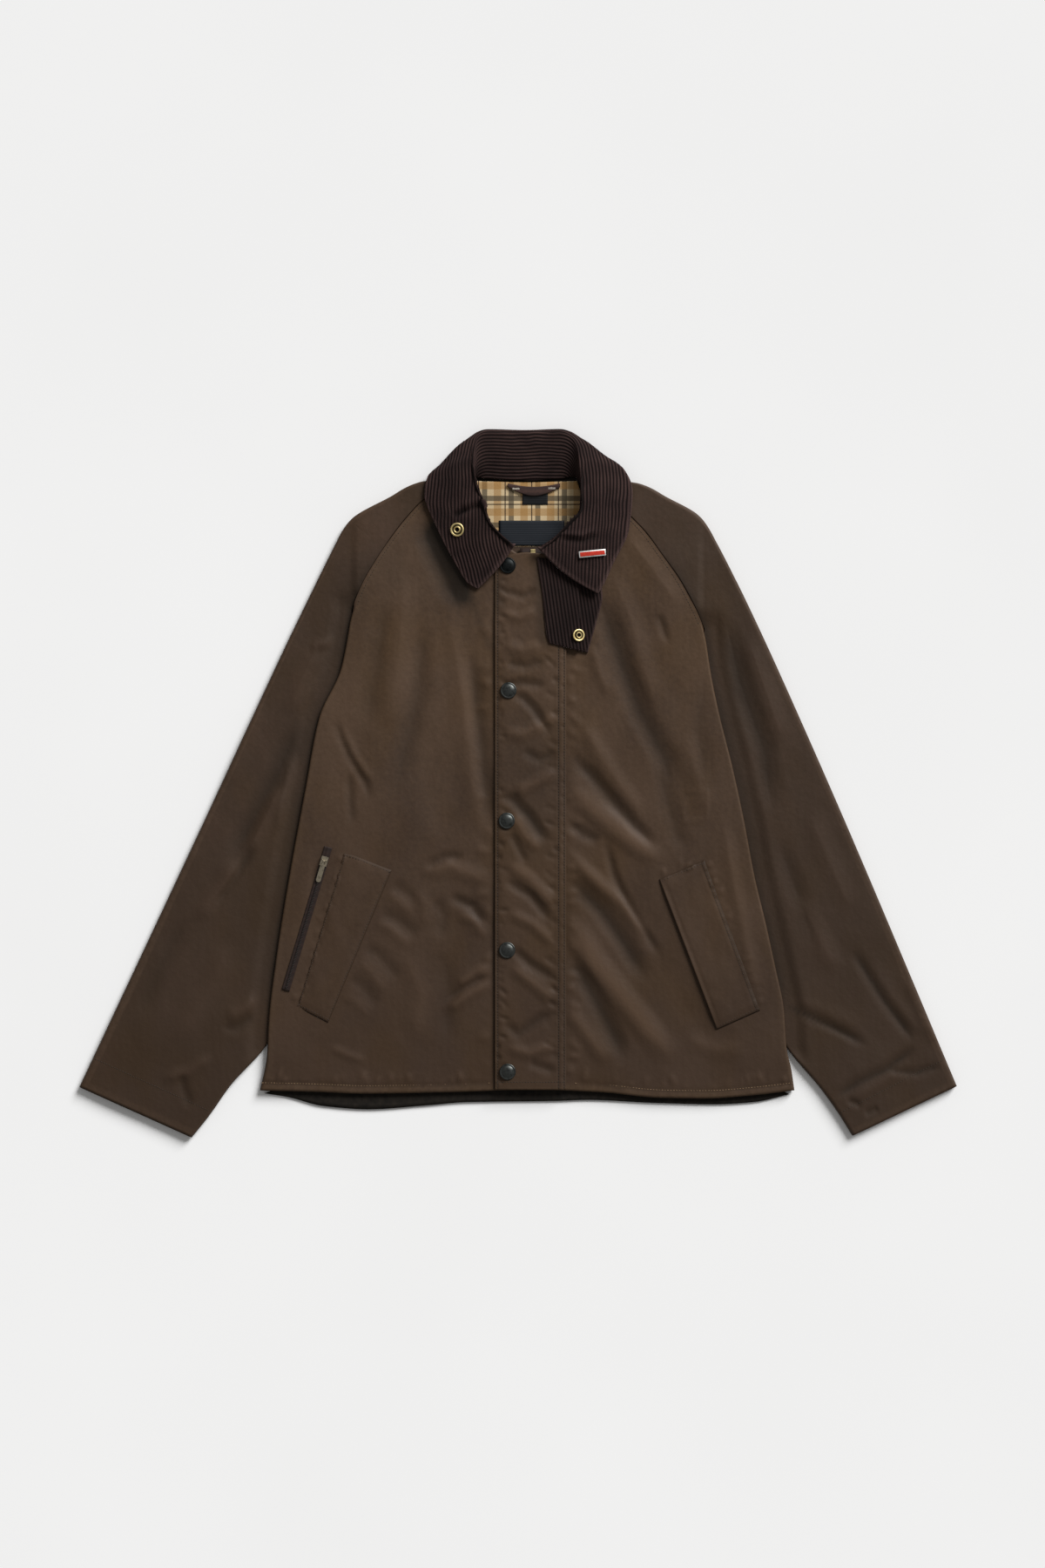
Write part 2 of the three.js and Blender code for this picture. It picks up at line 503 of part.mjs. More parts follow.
// One ring round the sleeve, from the top layer's inner edge over the outer fold to the bottom layer's edge
function sleeveRow(side, folds, outerY, topY, bottomY) {
  const curl = 1 - ease((topY - side.underarm) / 45);
  const topOut = topY < side.underarm ? side.innerAt(topY)
    : topY < side.foldTop - 8 ? side.armholeAt(topY)
      : mix(side.armholeAt(Math.min(topY, side.foldTop)), borderAt(side, topY) + mix(0.5, 1, ease((topY - 265) / 25)), ease((topY - side.foldTop + 8) / 6));
  const bottomOut = bottomY < side.underarm ? side.innerAt(bottomY) : side.backRaglanAt(bottomY);
  const outer = new THREE.Vector2(side.outerAt(outerY), outerY);
  const topEdge = new THREE.Vector2(topOut, topY);
  const bottomEdge = new THREE.Vector2(bottomOut, bottomY);
  const point = (plan, z) => new THREE.Vector3(side.sign * plan.x, plan.y, z);
  const across = outer.clone().sub(topEdge).normalize();
  const under = outer.clone().sub(bottomEdge).normalize();
  const height = sleeveTop(side, folds, outer.x, outer.y);
  const radius = height / 2;
  const innerHeight = sleeveTop(side, folds, topEdge.x, topEdge.y);
  const innerRadius = innerHeight / 2;
  const row = [];
  for (let n = 0; n < SLEEVE_COLUMNS.curl; n += 1) {
    const angle = (Math.PI / 2) * (1 - n / SLEEVE_COLUMNS.curl);
    const curled = innerRadius * (1 - Math.sin(angle));
    const flat = (innerRadius * n) / SLEEVE_COLUMNS.curl;
    const plan = topEdge.clone().addScaledVector(across, mix(flat, curled, curl));
    const level = sleeveTop(side, folds, plan.x, plan.y);
    const z = mix(level, innerRadius + 0.2 + (innerRadius - 0.2) * Math.cos(angle), curl);
    row.push(point(plan, z));
  }
  const first = topEdge.clone().addScaledVector(across, innerRadius);
  const final = outer.clone().addScaledVector(across, -radius);
  const split = splitAt(side, first, final);
  const rise = Math.min(0.5 * (1 - split), 13 / first.distanceTo(final));
  const places = [
    ...Array.from({ length: SLEEVE_COLUMNS.covered }, (_, n) => (split * n) / SLEEVE_COLUMNS.covered),
    ...Array.from({ length: SLEEVE_COLUMNS.rising }, (_, n) => split + (rise * n) / SLEEVE_COLUMNS.rising),
    ...Array.from({ length: SLEEVE_COLUMNS.top }, (_, n) => mix(split + rise, 1, n / SLEEVE_COLUMNS.top)),
  ];
  for (const place of places) {
    const plan = first.clone().lerp(final, place);
    row.push(point(plan, sleeveTop(side, folds, plan.x, plan.y)));
  }
  const centre = outer.clone().addScaledVector(across.clone().add(under).normalize(), -radius);
  const edgeTop = sleeveTop(side, folds, final.x, final.y);
  for (let n = 0; n <= SLEEVE_COLUMNS.fold; n += 1) {
    const angle = (Math.PI * n) / SLEEVE_COLUMNS.fold;
    const outward = across.clone().lerp(under, n / SLEEVE_COLUMNS.fold);
    const plan = centre.clone().addScaledVector(outward, radius * Math.sin(angle));
    row.push(point(n === 0 ? final : plan, (edgeTop / 2) * (1 + Math.cos(angle))));
  }
  const bottomEnd = bottomEdge.clone().addScaledVector(under, innerRadius);
  for (let n = 1; n <= SLEEVE_COLUMNS.bottom; n += 1) {
    row.push(point(centre.clone().lerp(bottomEnd, n / SLEEVE_COLUMNS.bottom), 0));
  }
  for (let n = 1; n <= SLEEVE_COLUMNS.curl; n += 1) {
    const angle = (Math.PI / 2) * (n / SLEEVE_COLUMNS.curl);
    const curled = innerRadius * (1 - Math.sin(angle));
    const flat = innerRadius * (1 - n / SLEEVE_COLUMNS.curl);
    const plan = bottomEdge.clone().addScaledVector(under, mix(flat, curled, curl));
    row.push(point(plan, (innerRadius - 0.2) * (1 - Math.cos(angle)) * curl));
  }
  return row;
}

// How far the back's neck edge dips below its ends
const NECK_DIP = 4;

// The back lies flat on the floor between the side seams and, above the underarms, between the sleeves
function backPanel() {
  const hemY = column(BACK_HEM, 'x', 'y');
  const [first, last] = [BACK_HEM[0], BACK_HEM.at(-1)];
  const lowest = HEM_Y - 0.4;
  const rowsY = [lowest, ...sideRows.slice(1), 230, 260, 300, 330, 354.5];
  const reach = (side, y) => (y < side.underarm ? sideSeamAt(side, y) : side.backRaglanAt(y)) - SEAM - 0.3;
  const columns = 7;
  const rows = rowsY.map((y) => gridOf(2, columns, (u) => {
    const x = mix(-reach(right, y), reach(left, y), u);
    return [x, y - (y > 340 ? NECK_DIP * Math.sin(Math.PI * u) : 0), CLOTH];
  })[0]);
  const hem = gridOf(2, columns, (u) => {
    const x = mix(first.x, last.x, u);
    return [x, hemY(x), CLOTH];
  })[0];
  return clothWall([hem, ...rows], CLOTH);
}

// A wall that lies on others: its plan comes from the caller, and its height from what is under it
function laidGrid(rows, columns, thickness, under, plan) {
  return gridOf(rows, columns, (u, v) => {
    const [x, y] = plan(u, v);
    return [x, y, under(x, y) + SEAM + thickness];
  });
}

function placketGrid(under) {
  const topAt = column([{ u: 0, y: 250 }, { u: 0.2, y: 262 }, { u: 0.45, y: 265 }, { u: 0.7, y: 263 }, { u: 1, y: 255 }], 'u', 'y');
  return laidGrid(22, 5, CLOTH, under, (u, v) => [mix(PLACKET.left, PLACKET.right, u), mix(PLACKET.hem, topAt(u), v)]);
}

// The zip lies between the fronts, with its tape a little below them and its chain raised in the middle
function frontZip() {
  const middle = (ZIP.left + ZIP.right) / 2;
  const half = ZIP.chain / 2;
  const across = [ZIP.left, middle - half - 1, middle - half, middle + half, middle + half + 1, ZIP.right];
  const raised = [0, 0, ZIP.chainRise, ZIP.chainRise, 0, 0];
  return clothWall(gridOf(14, across.length, (u, v) => {
    const n = Math.round(u * (across.length - 1));
    const y = mix(ZIP.hem, ZIP.top, v);
    return [across[n], y, bodyTop(across[n], y) - 1.2 + raised[n]];
  }), ZIP.tape);
}

// A four-cornered piece on the front: corners run from the top left clockwise
function fourCorners(corners, rows, columns, thickness, under) {
  const [topLeft, topRight, lowRight, lowLeft] = corners;
  return clothWall(laidGrid(rows, columns, thickness, under, (u, v) => [
    mix(mix(lowLeft.x, lowRight.x, u), mix(topLeft.x, topRight.x, u), v),
    mix(mix(lowLeft.y, lowRight.y, u), mix(topLeft.y, topRight.y, u), v),
  ]), thickness);
}

// The collar's path at one station: up the stand, over the roll, out along the fall and, at the back, under it
function collarPath(s) {
  const [n, r, q] = [new THREE.Vector2(s.nx, s.ny), new THREE.Vector2(s.rx, s.ry), new THREE.Vector2(s.qx, s.qy)];
  const atNeck = s.nz;
  const out = q.clone().sub(r).normalize();
  const stand = [];
  for (let k = 0; k <= 6; k += 1) {
    const a = k / 6;
    const plan = n.clone().lerp(r, a ** 1.2);
    stand.push(new THREE.Vector3(plan.x, plan.y, mix(atNeck, s.rz, Math.sin((a * Math.PI) / 2))));
  }
  const fall = [stand.at(-1).clone()];
  const span = q.distanceTo(r);
  for (let k = 1; k <= 10; k += 1) {
    const a = k / 10;
    const plan = r.clone().lerp(q, a).addScaledVector(new THREE.Vector2(out.y, -out.x), s.bow * Math.sin(Math.PI * a));
    fall.push(new THREE.Vector3(plan.x, plan.y, mix(s.rz, s.qz, a ** 1.3)));
  }
  const radius = s.qz / 2;
  const round = Math.PI * radius;
  const wanted = s.under;
  for (let k = 1; k <= 8 && wanted > 0; k += 1) {
    const reach = Math.min(wanted, round);
    const angle = (Math.PI * reach * k) / (8 * round);
    const plan = q.clone().addScaledVector(out, Math.min(span, radius) * 0.4 * Math.sin(angle));
    fall.push(new THREE.Vector3(plan.x, plan.y, radius + radius * Math.cos(angle)));
  }
  if (wanted > round) {
    const plan = q.clone().add(new THREE.Vector2(-0.15 * Math.sign(s.qx) * Math.abs(out.x), -1).multiplyScalar(wanted - round));
    fall.push(new THREE.Vector3(plan.x, Math.max(plan.y, 357.5), 0));
  }
  return [...evenly(stand, COLLAR_COLUMNS.stand + 1), ...evenly(fall, COLLAR_COLUMNS.fall + 1).slice(1)];
}

// Height of the collar's face at its neck seam: on the fronts at the sides, and on the back panel behind the neck
function neckSeamHeight(x, y) {
  const onBack = ease((y - 330) / 20);
  return mix(bodyTop(x, y) + SEAM + 0.2, CLOTH + SEAM + CORDUROY, onBack);
}

function collar() {
  const table = COLLAR.map((row, place) => ({ place, nz: neckSeamHeight(row.nx, row.ny), ...row }));
  const keys = Object.keys(table[0]).filter((key) => key !== 'place');
  const at = Object.fromEntries(keys.map((key) => [key, column(table, 'place', key)]));
  const count = (COLLAR.length - 1) * COLLAR_ROWS_PER_STATION;
  const rows = Array.from({ length: count + 1 }, (_, i) => {
    const place = (i * (COLLAR.length - 1)) / count;
    return collarPath(Object.fromEntries(keys.map((key) => [key, at[key](place)])));
  });
  return rows;
}

// The throat tab lies over the placket and the front, under the leaf
function tabGrid(under) {
  const [leftX, rightX] = [column(TAB.left, 'y', 'x'), column(TAB.right, 'y', 'x')];
  return laidGrid(TAB.rows, TAB.columns, CORDUROY, under, (u, v) => {
    const [leftY, rightY] = [mix(160.5, 259.5, v), mix(150, 246, v)];
    return [mix(leftX(leftY), rightX(rightY), u), mix(leftY, rightY, u)];
  });
}

// A round cap turned on its axis: rows give its outline from the axis at the base to the axis at the top
function turned(profile, sides) {
  const geometry = new THREE.LatheGeometry(profile.map(([r, z]) => new THREE.Vector2(r, z)), sides);
  return geometry.rotateX(Math.PI / 2);
}

const snapCap = () => turned(
  [[0, 0], [SNAP.radius - 0.6, 0], [SNAP.radius, 0.8], [SNAP.radius - 1.6, 2.2], [SNAP.radius * 0.45, SNAP.height], [0, SNAP.height]],
  SNAP.sides,
);

const eyeletStud = (stud) => turned(
  [
    [stud.hole, 0], [stud.radius - 0.4, 0], [stud.radius, 0.6], [stud.radius * 0.66, stud.height],
    [stud.hole + 0.8, stud.height * 0.8], [stud.hole, stud.height * 0.4], [stud.hole, 0],
  ],
  18,
);

// The place and tilt of a flat piece on a face that is given as a height
function seat(mesh, x, y, face, lift, turn = 0) {
  const reach = 5;
  const slope = new THREE.Vector3(
    -(face(x + reach, y) - face(x - reach, y)) / (2 * reach),
    -(face(x, y + reach) - face(x, y - reach)) / (2 * reach),
    1,
  ).normalize();
  const tilt = new THREE.Quaternion().setFromUnitVectors(new THREE.Vector3(0, 0, 1), slope);
  const spin = new THREE.Quaternion().setFromAxisAngle(new THREE.Vector3(0, 0, 1), THREE.MathUtils.degToRad(turn));
  mesh.quaternion.copy(tilt.multiply(spin));
  mesh.position.set(x, y, face(x, y)).addScaledVector(slope, lift);
  return mesh;
}

// Joins solids into one, or cuts one with another
function solid(geometry) {
  const source = geometry.getAttribute('position');
  const seen = new Map();
  const vertices = [];
  const order = Array.from({ length: source.count }, (_, i) => {
    const point = [source.getX(i), source.getY(i), source.getZ(i)];
    const key = point.map((value) => Math.round(value * 1e4)).join(' ');
    if (!seen.has(key)) {
      seen.set(key, vertices.length / 3);
      vertices.push(...point);
    }
    return seen.get(key);
  });
  const corners = geometry.index ? Array.from(geometry.index.array) : order.map((_, i) => i);
  const triangles = [];
  for (let i = 0; i < corners.length; i += 3) {
    const [a, b, c] = [0, 1, 2].map((k) => order[corners[i + k]]);
    if (a !== b && b !== c && c !== a) triangles.push(a, b, c);
  }
  return new wasm.Manifold(new wasm.Mesh({
    numProp: 3, vertProperties: new Float32Array(vertices), triVerts: new Uint32Array(triangles),
  }));
}

function shown(manifold) {
  const mesh = manifold.getMesh();
  const geometry = new THREE.BufferGeometry();
  geometry.setAttribute('position', new THREE.BufferAttribute(new Float32Array(mesh.vertProperties), 3));
  geometry.setIndex(new THREE.BufferAttribute(new Uint32Array(mesh.triVerts), 1));
  return geometry;
}

// A box from its size and middle, and a round bar along X
const block = (w, l, h, x, y, z) => new THREE.BoxGeometry(w, l, h).translate(x, y, z);
const bar = (radius, length, z) => new THREE.CylinderGeometry(radius, radius, length, 10).rotateZ(Math.PI / 2).translate(0, 0, z);

// The slider's body, its two lugs and the pin between them. The pin's middle is at z = pinHeight.
const pinHeight = SLIDER.height + PULL.ring + 0.35;

function sliderBody() {
  const lugHeight = pinHeight + SLIDER.pin + 0.5;
  const offset = SLIDER.lugGap / 2 + SLIDER.lug / 2;
  let body = solid(block(SLIDER.width, SLIDER.length, SLIDER.height, 0, 0, SLIDER.height / 2));
  for (const x of [-offset, offset]) {
    body = body.add(solid(block(SLIDER.lug, SLIDER.lugLength, lugHeight, x, 0, lugHeight / 2)));
  }
  return shown(body.add(solid(bar(SLIDER.pin, SLIDER.lugGap + SLIDER.lug, pinHeight))));
}

// The pull: a plate with rounded ends, and a ring that turns on the slider's pin. Its origin is the pin.
function pullTab() {
  const outline = new THREE.Shape();
  const half = PULL.width / 2;
  outline.moveTo(-1.1, -PULL.ring * 0.5);
  outline.lineTo(-1.1, -2.8);
  outline.lineTo(-half, -5);
  outline.lineTo(-half, -PULL.length + 2);
  outline.lineTo(-half + 1.5, -PULL.length);
  outline.lineTo(half - 1.5, -PULL.length);
  outline.lineTo(half, -PULL.length + 2);
  outline.lineTo(half, -5);
  outline.lineTo(1.1, -2.8);
  outline.lineTo(1.1, -PULL.ring * 0.5);
  const plate = new THREE.ExtrudeGeometry(outline, { depth: PULL.thick, bevelEnabled: false }).translate(0, 0, -PULL.thick / 2);
  const ring = solid(bar(PULL.ring, PULL.ringWidth, 0));
  const hole = solid(bar(PULL.hole, PULL.ringWidth + 8, 0));
  return shown(solid(plate).add(ring).subtract(hole));
}

const MATERIALS = {
  waxedCotton: { color: '#463a2e', roughness: 0.62, metalness: 0 },
  insideCloth: { color: '#2a2521', roughness: 0.8, metalness: 0 },
  corduroy: { color: '#2c2123', roughness: 0.9, metalness: 0 },
  lining: { color: '#c9ad7c', roughness: 0.9, metalness: 0 },
  label: { color: '#22262e', roughness: 0.7, metalness: 0 },
  tape: { color: '#33231f', roughness: 0.8, metalness: 0 },
  gunmetal: { color: '#2c2f2f', roughness: 0.35, metalness: 1 },
  brass: { color: '#c9a94e', roughness: 0.3, metalness: 1 },
  nickel: { color: '#8f8a78', roughness: 0.35, metalness: 1 },
  enamel: { color: '#c8321f', roughness: 0.3, metalness: 0 },
};

const jacket = new THREE.Group();

function piece(name, geometry, material) {
  const mesh = new THREE.Mesh(geometry, new THREE.MeshStandardMaterial(MATERIALS[material]));
  mesh.name = name;
  jacket.add(mesh);
  return mesh;
}

piece('back', backPanel(), 'waxedCotton');
const rightGrid = frontGrid(right, HEM_DIP.right);
const leftGrid = frontGrid(left, HEM_DIP.left);
const fronts = [surfaceOf(rightGrid), surfaceOf(leftGrid)];
const onFront = (reach) => restOn(fronts, reach, bodyTop);
piece('front_right', clothWall(rightGrid, CLOTH), 'waxedCotton');
piece('front_left', clothWall(leftGrid, CLOTH), 'waxedCotton');
piece('sleeve_right', sleeve(right, SLEEVE_FOLDS.right), 'waxedCotton');
piece('sleeve_left', sleeve(left, SLEEVE_FOLDS.left), 'waxedCotton');
const placketFace = placketGrid(onFront(10));
const overPlacket = (reach) => restOn([...fronts, surfaceOf(placketFace)], reach, bodyTop);
piece('placket', clothWall(placketFace, CLOTH), 'waxedCotton');
piece('front_zip', frontZip(), 'tape');
piece('pocket_welt_left', fourCorners(WELT_LEFT, 10, 5, WELT, onFront(12)), 'waxedCotton');
piece('pocket_welt_right', fourCorners(WELT_RIGHT, 10, 5, WELT, onFront(12)), 'waxedCotton');

const collarGrid = collar();
piece('collar', clothWall(collarGrid.map((row) => [...row].reverse()), CORDUROY), 'corduroy');
const tabFace = tabGrid(overPlacket(14));
piece('throat_tab', clothWall(tabFace, CORDUROY), 'corduroy');
const overTab = restOn([surfaceOf(tabFace)], 4, bodyTop);

// The collar's face as a height, from the nearest points of its grid
function collarFace(x, y) {
  let [weight, height] = [0, 0];
  for (const point of collarGrid.flat()) {
    const far = (point.x - x) ** 2 + (point.y - y) ** 2;
    if (point.z < 9) continue;
    const share = 1 / (far + 4) ** 2;
    weight += share;
    height += share * point.z;
  }
  return height / weight;
}

for (const [n, { x, y }] of SNAPS.entries()) {
  seat(piece(`snap_${n + 1}`, snapCap(), 'gunmetal'), x, y, overPlacket(6), SEAM);
}
seat(piece('collar_stud', eyeletStud(COLLAR_STUD), 'brass'), COLLAR_STUD.x, COLLAR_STUD.y, collarFace, SEAM + 0.4);
seat(piece('tab_stud', eyeletStud(TAB_STUD), 'brass'), TAB_STUD.x, TAB_STUD.y, overTab, SEAM);
seat(piece('collar_pin', block(PIN.length, PIN.width, PIN.thick, 0, 0, PIN.thick / 2), 'enamel'), PIN.x, PIN.y, collarFace, SEAM + 0.9, PIN.turn);

const zipRun = new THREE.Vector2(POCKET_ZIP.x2 - POCKET_ZIP.x1, POCKET_ZIP.y2 - POCKET_ZIP.y1);
const zipTurn = THREE.MathUtils.radToDeg(Math.atan2(zipRun.y, zipRun.x)) + 90;
const zipWay = zipRun.clone().normalize();
const zipAcross = new THREE.Vector2(-zipWay.y, zipWay.x);
const tapeFace = (x, y) => onFront(5)(x, y) + SEAM + POCKET_ZIP.thick;

piece('pocket_zip', clothWall(laidGrid(12, 3, POCKET_ZIP.thick, onFront(5), (u, v) => {
  const [along, aside] = [mix(zipRun.length(), 0, v), mix(-POCKET_ZIP.width / 2, POCKET_ZIP.width / 2, u)];
  return [POCKET_ZIP.x1 + zipWay.x * along + zipAcross.x * aside, POCKET_ZIP.y1 + zipWay.y * along + zipAcross.y * aside];
}), POCKET_ZIP.thick), 'tape');

const sliderAt = { x: POCKET_ZIP.x1 + zipWay.x * SLIDER.along, y: POCKET_ZIP.y1 + zipWay.y * SLIDER.along };
const slider = seat(piece('pocket_zip_slider', sliderBody(), 'nickel'), sliderAt.x, sliderAt.y, tapeFace, SEAM, zipTurn);
const pull = piece('pocket_zip_pull', pullTab(), 'nickel');
pull.quaternion.copy(slider.quaternion).multiply(
  new THREE.Quaternion().setFromAxisAngle(new THREE.Vector3(1, 0, 0), THREE.MathUtils.degToRad(PULL.droop)),
);
pull.position.set(0, 0, pinHeight).applyQuaternion(slider.quaternion).add(slider.position);

// What shows inside the neck lies flat on the back
const LINING_FACE = CLOTH + SEAM + LINING;
piece('lining_yoke', clothWall(gridOf(6, 6, (u, v) => {
  const y = mix(236, 347.5, v);
  return [mix(-mix(80, 49, v), mix(94, 67.5, v ** 1.5), u), y - (v === 1 ? 1.4 * Math.sin(Math.PI * u) : 0), LINING_FACE];
}), LINING), 'lining');

function flatLabel(box, face) {
  return clothWall(gridOf(2, 2, (u, v) => [mix(box.x1, box.x2, u), mix(box.y1, box.y2, v), face + SEAM + LABEL]), LABEL);
}
piece('neck_label', flatLabel(NECK_LABEL, LINING_FACE), 'label');
piece('size_tab', flatLabel(SIZE_TAB, LINING_FACE), 'label');
piece('hanger_loop', clothWall(gridOf(2, 9, (u, v) => {
  const sag = LOOP.sag * Math.sin(Math.PI * u);
  return [mix(LOOP.x1, LOOP.x2, u), LOOP.y - sag - LOOP.width * (1 - v), LINING_FACE + 2 * SEAM + LABEL + LOOP.thick];
}), LOOP.thick), 'tape');

export default jacket;
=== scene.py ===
"""Dresses a waxed cotton jacket that lies flat on its back, front up, for a studio picture.

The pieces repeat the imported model's pattern in metres from the same sizes in millimetres, on finer grids,
with the creases, wales, stitches and metal trim that the solids leave out. Points on a side are given as
out, the distance from the middle line, and y. Lengths are in millimetres where nothing else is said.
"""

import logging
import math
from collections.abc import Callable, Sequence
from dataclasses import dataclass, field
from enum import Enum

import bmesh
import bpy
import numpy as np
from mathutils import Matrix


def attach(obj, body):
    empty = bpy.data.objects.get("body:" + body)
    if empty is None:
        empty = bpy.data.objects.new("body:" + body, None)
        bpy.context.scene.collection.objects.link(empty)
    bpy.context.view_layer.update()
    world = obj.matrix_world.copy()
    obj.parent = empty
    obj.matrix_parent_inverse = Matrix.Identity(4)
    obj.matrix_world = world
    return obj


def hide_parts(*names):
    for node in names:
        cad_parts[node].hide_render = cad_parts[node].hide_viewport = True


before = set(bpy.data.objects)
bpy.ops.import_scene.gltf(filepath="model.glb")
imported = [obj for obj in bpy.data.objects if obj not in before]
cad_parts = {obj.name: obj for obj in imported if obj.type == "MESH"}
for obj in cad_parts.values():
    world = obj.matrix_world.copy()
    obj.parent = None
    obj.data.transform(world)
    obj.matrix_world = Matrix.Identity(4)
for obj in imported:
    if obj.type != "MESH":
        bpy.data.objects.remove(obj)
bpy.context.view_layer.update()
LOG = logging.getLogger("jacket")
Array = np.ndarray
Number = float | Array
Pair = tuple[float, float]
Triple = tuple[float, float, float]
Rows = tuple[tuple[float, ...], ...]
Height = Callable[[Array, Array], Array]
Material = bpy.types.Material
Mesh = bpy.types.Mesh
Object = bpy.types.Object
Socket = bpy.types.NodeSocket
Value = float | Socket
Colour = str | Socket
MM = 0.001

# Walls, gaps and heights of the outer faces
CLOTH, CORDUROY, WELT, LINING, LABEL, SEAM = 2.0, 2.6, 1.6, 1.0, 0.6, 0.3
BODY_TOP, EDGE_RISE, EDGE_REACH, SLEEVE_TOP, TUCKED_TOP = 7.6, 2.4, 26.0, 7.8, 5.2
TUCKED_OVER = TUCKED_TOP + SEAM
HEM_Y, PLAIN_EDGE = -351.0, 4.0
LINING_FACE = CLOTH + SEAM + LINING
# How far the placket lies clear of the fronts, and the places of its three rows of stitches across
PLACKET_LIFT = SEAM + CLOTH + 1.3
PLACKET_ROWS = (-23.5, 46.5, 53)
# Points of a panel's grid that lie lower than this are turned under and don't show
FRONT_SHOWS, SLEEVE_SHOWS = 4.2, 4.5
# How much higher and wider the creases are than their tables say
CREASE_HEIGHT, CREASE_WIDTH = 1.9, 1.35


def linear(colour: str) -> tuple[float, float, float, float]:
    """Turns an sRGB hex colour into the linear one that a shader's socket takes.

    Args:
        colour: a hash and six hex digits.

    Returns:
        Red, green, blue and alpha.
    """
    parts = [int(colour[i:i + 2], 16) / 255 for i in (1, 3, 5)]
    red, green, blue = (p / 12.92 if p <= 0.04045 else ((p + 0.055) / 1.055) ** 2.4 for p in parts)
    return red, green, blue, 1.0


def mix(a: Number, b: Number, k: Number) -> Number:
    """Goes from a at k 0 to b at k 1."""
    return a + (b - a) * k


def ease(value: Number) -> Number:
    """Rises smoothly from 0 to 1 as the value does, and stays level beyond."""
    k = np.clip(value, 0.0, 1.0)
    return k * k * (3 - 2 * k)


def smooth(rows: Sequence[Pair]) -> Callable[[Number], Number]:
    """Makes a smooth function through a table's rows, with no overshoot between them.

    Args:
        rows: pairs of place and value.

    Returns:
        A function of a number or an array.
    """
    table = np.array(sorted(rows), dtype=float)
    at, value = table[:, 0], table[:, 1]
    slope = np.diff(value) / np.diff(at)
    tangent = np.empty(len(at))
    tangent[0], tangent[-1] = slope[0], slope[-1]
    for i in range(1, len(at) - 1):
        before, after = slope[i - 1], slope[i]
        tangent[i] = 0 if before * after <= 0 else 2 * before * after / (before + after)

    def read(place: Number) -> Number:
        """Reads the function.

        Args:
            place: one place or an array of them.

        Returns:
            The value at each place.
        """
        place = np.asarray(place, dtype=float)
        i = np.searchsorted(at[1:-1], place, side="left")
        span = at[i + 1] - at[i]
        k = np.clip((place - at[i]) / span, 0, 1)
        bend = (k * (1 - k) ** 2 * tangent[i] - k * k * (1 - k) * tangent[i + 1]) * span
        return mix(value[i], value[i + 1], k * k * (3 - 2 * k)) + bend

    return read


def distances(path: Array) -> Array:
    """How far along a path each of its points lies."""
    return np.concatenate([[0], np.cumsum(np.linalg.norm(np.diff(path, axis=0), axis=1))])


@dataclass(frozen=True)
class Crease:
    """A soft ridge, or a trough where the rise is negative, along a line of points on a panel."""

    points: tuple[Pair, ...]
    width: float
    rise: float
    fade: float = 0.25

    def lift(self, x: Array, y: Array) -> Array:
        """Gives how far the crease lifts each point.

        Args:
            x, y: places on the panel.

        Returns:
            Heights.
        """
        path = np.array(self.points, dtype=float)
        width = self.width * CREASE_WIDTH
        low, high = path.min(axis=0) - width, path.max(axis=0) + width
        out = np.zeros(x.shape)
        near = (x > low[0]) & (x < high[0]) & (y > low[1]) & (y < high[1])
        if not near.any():
            return out
        px, py = x[near], y[near]
        before = distances(path)
        best, along = np.full(px.shape, 1e9), np.zeros(px.shape)
        for i, length in enumerate(np.diff(before)):
            way = (path[i + 1] - path[i]) / length
            s = np.clip((px - path[i, 0]) * way[0] + (py - path[i, 1]) * way[1], 0, length)
            far = np.hypot(px - path[i, 0] - s * way[0], py - path[i, 1] - s * way[1])
            closer = far < best
            best[closer], along[closer] = far[closer], (before[i] + s[closer]) / before[-1]
        ends = ease(along / self.fade) * ease((1 - along) / self.fade)
        near_by = np.clip(1 - best / width, 0, 1)
        out[near] = self.rise * CREASE_HEIGHT * (0.42 * ease(near_by) + 0.58 * near_by ** 2) * ends
        return out


class Ripple:
    """Gentle seeded waves in cloth that nothing holds flat, from patches of a few sizes."""

    PATCHES = 96
    CORNER = 700

    def __init__(self, seed: int, sizes: Sequence[Triple]) -> None:
        """Sets the patches.

        Args:
            seed: the fixed seed.
            sizes: patch width, patch length and height, one for each layer of waves.
        """
        rng = np.random.default_rng(seed)
        self.layers = [(w, l, h, rng.uniform(-1, 1, (self.PATCHES, self.PATCHES))) for w, l, h in sizes]

    def lift(self, x: Array, y: Array) -> Array:
        """Gives the waves' height at each point.

        Args:
            x, y: places on the panel.

        Returns:
            Heights.
        """
        total = np.zeros(x.shape)
        for width, length, height, grid in self.layers:
            u, v = (x + self.CORNER) / width, (y + self.CORNER) / length
            i, j = np.floor(u).astype(int), np.floor(v).astype(int)
            a, b = ease(u - i), ease(v - j)
            i0, i1, j0, j1 = (n % self.PATCHES for n in (i, i + 1, j, j + 1))
            low = mix(grid[i0, j0], grid[i1, j0], a)
            high = mix(grid[i0, j1], grid[i1, j1], a)
            total += height * mix(low, high, b)
        return total


def creases(*rows: tuple) -> list[Crease]:
    """Makes creases from rows of what a crease takes: its points, width, rise and fade."""
    return [Crease(*row) for row in rows]


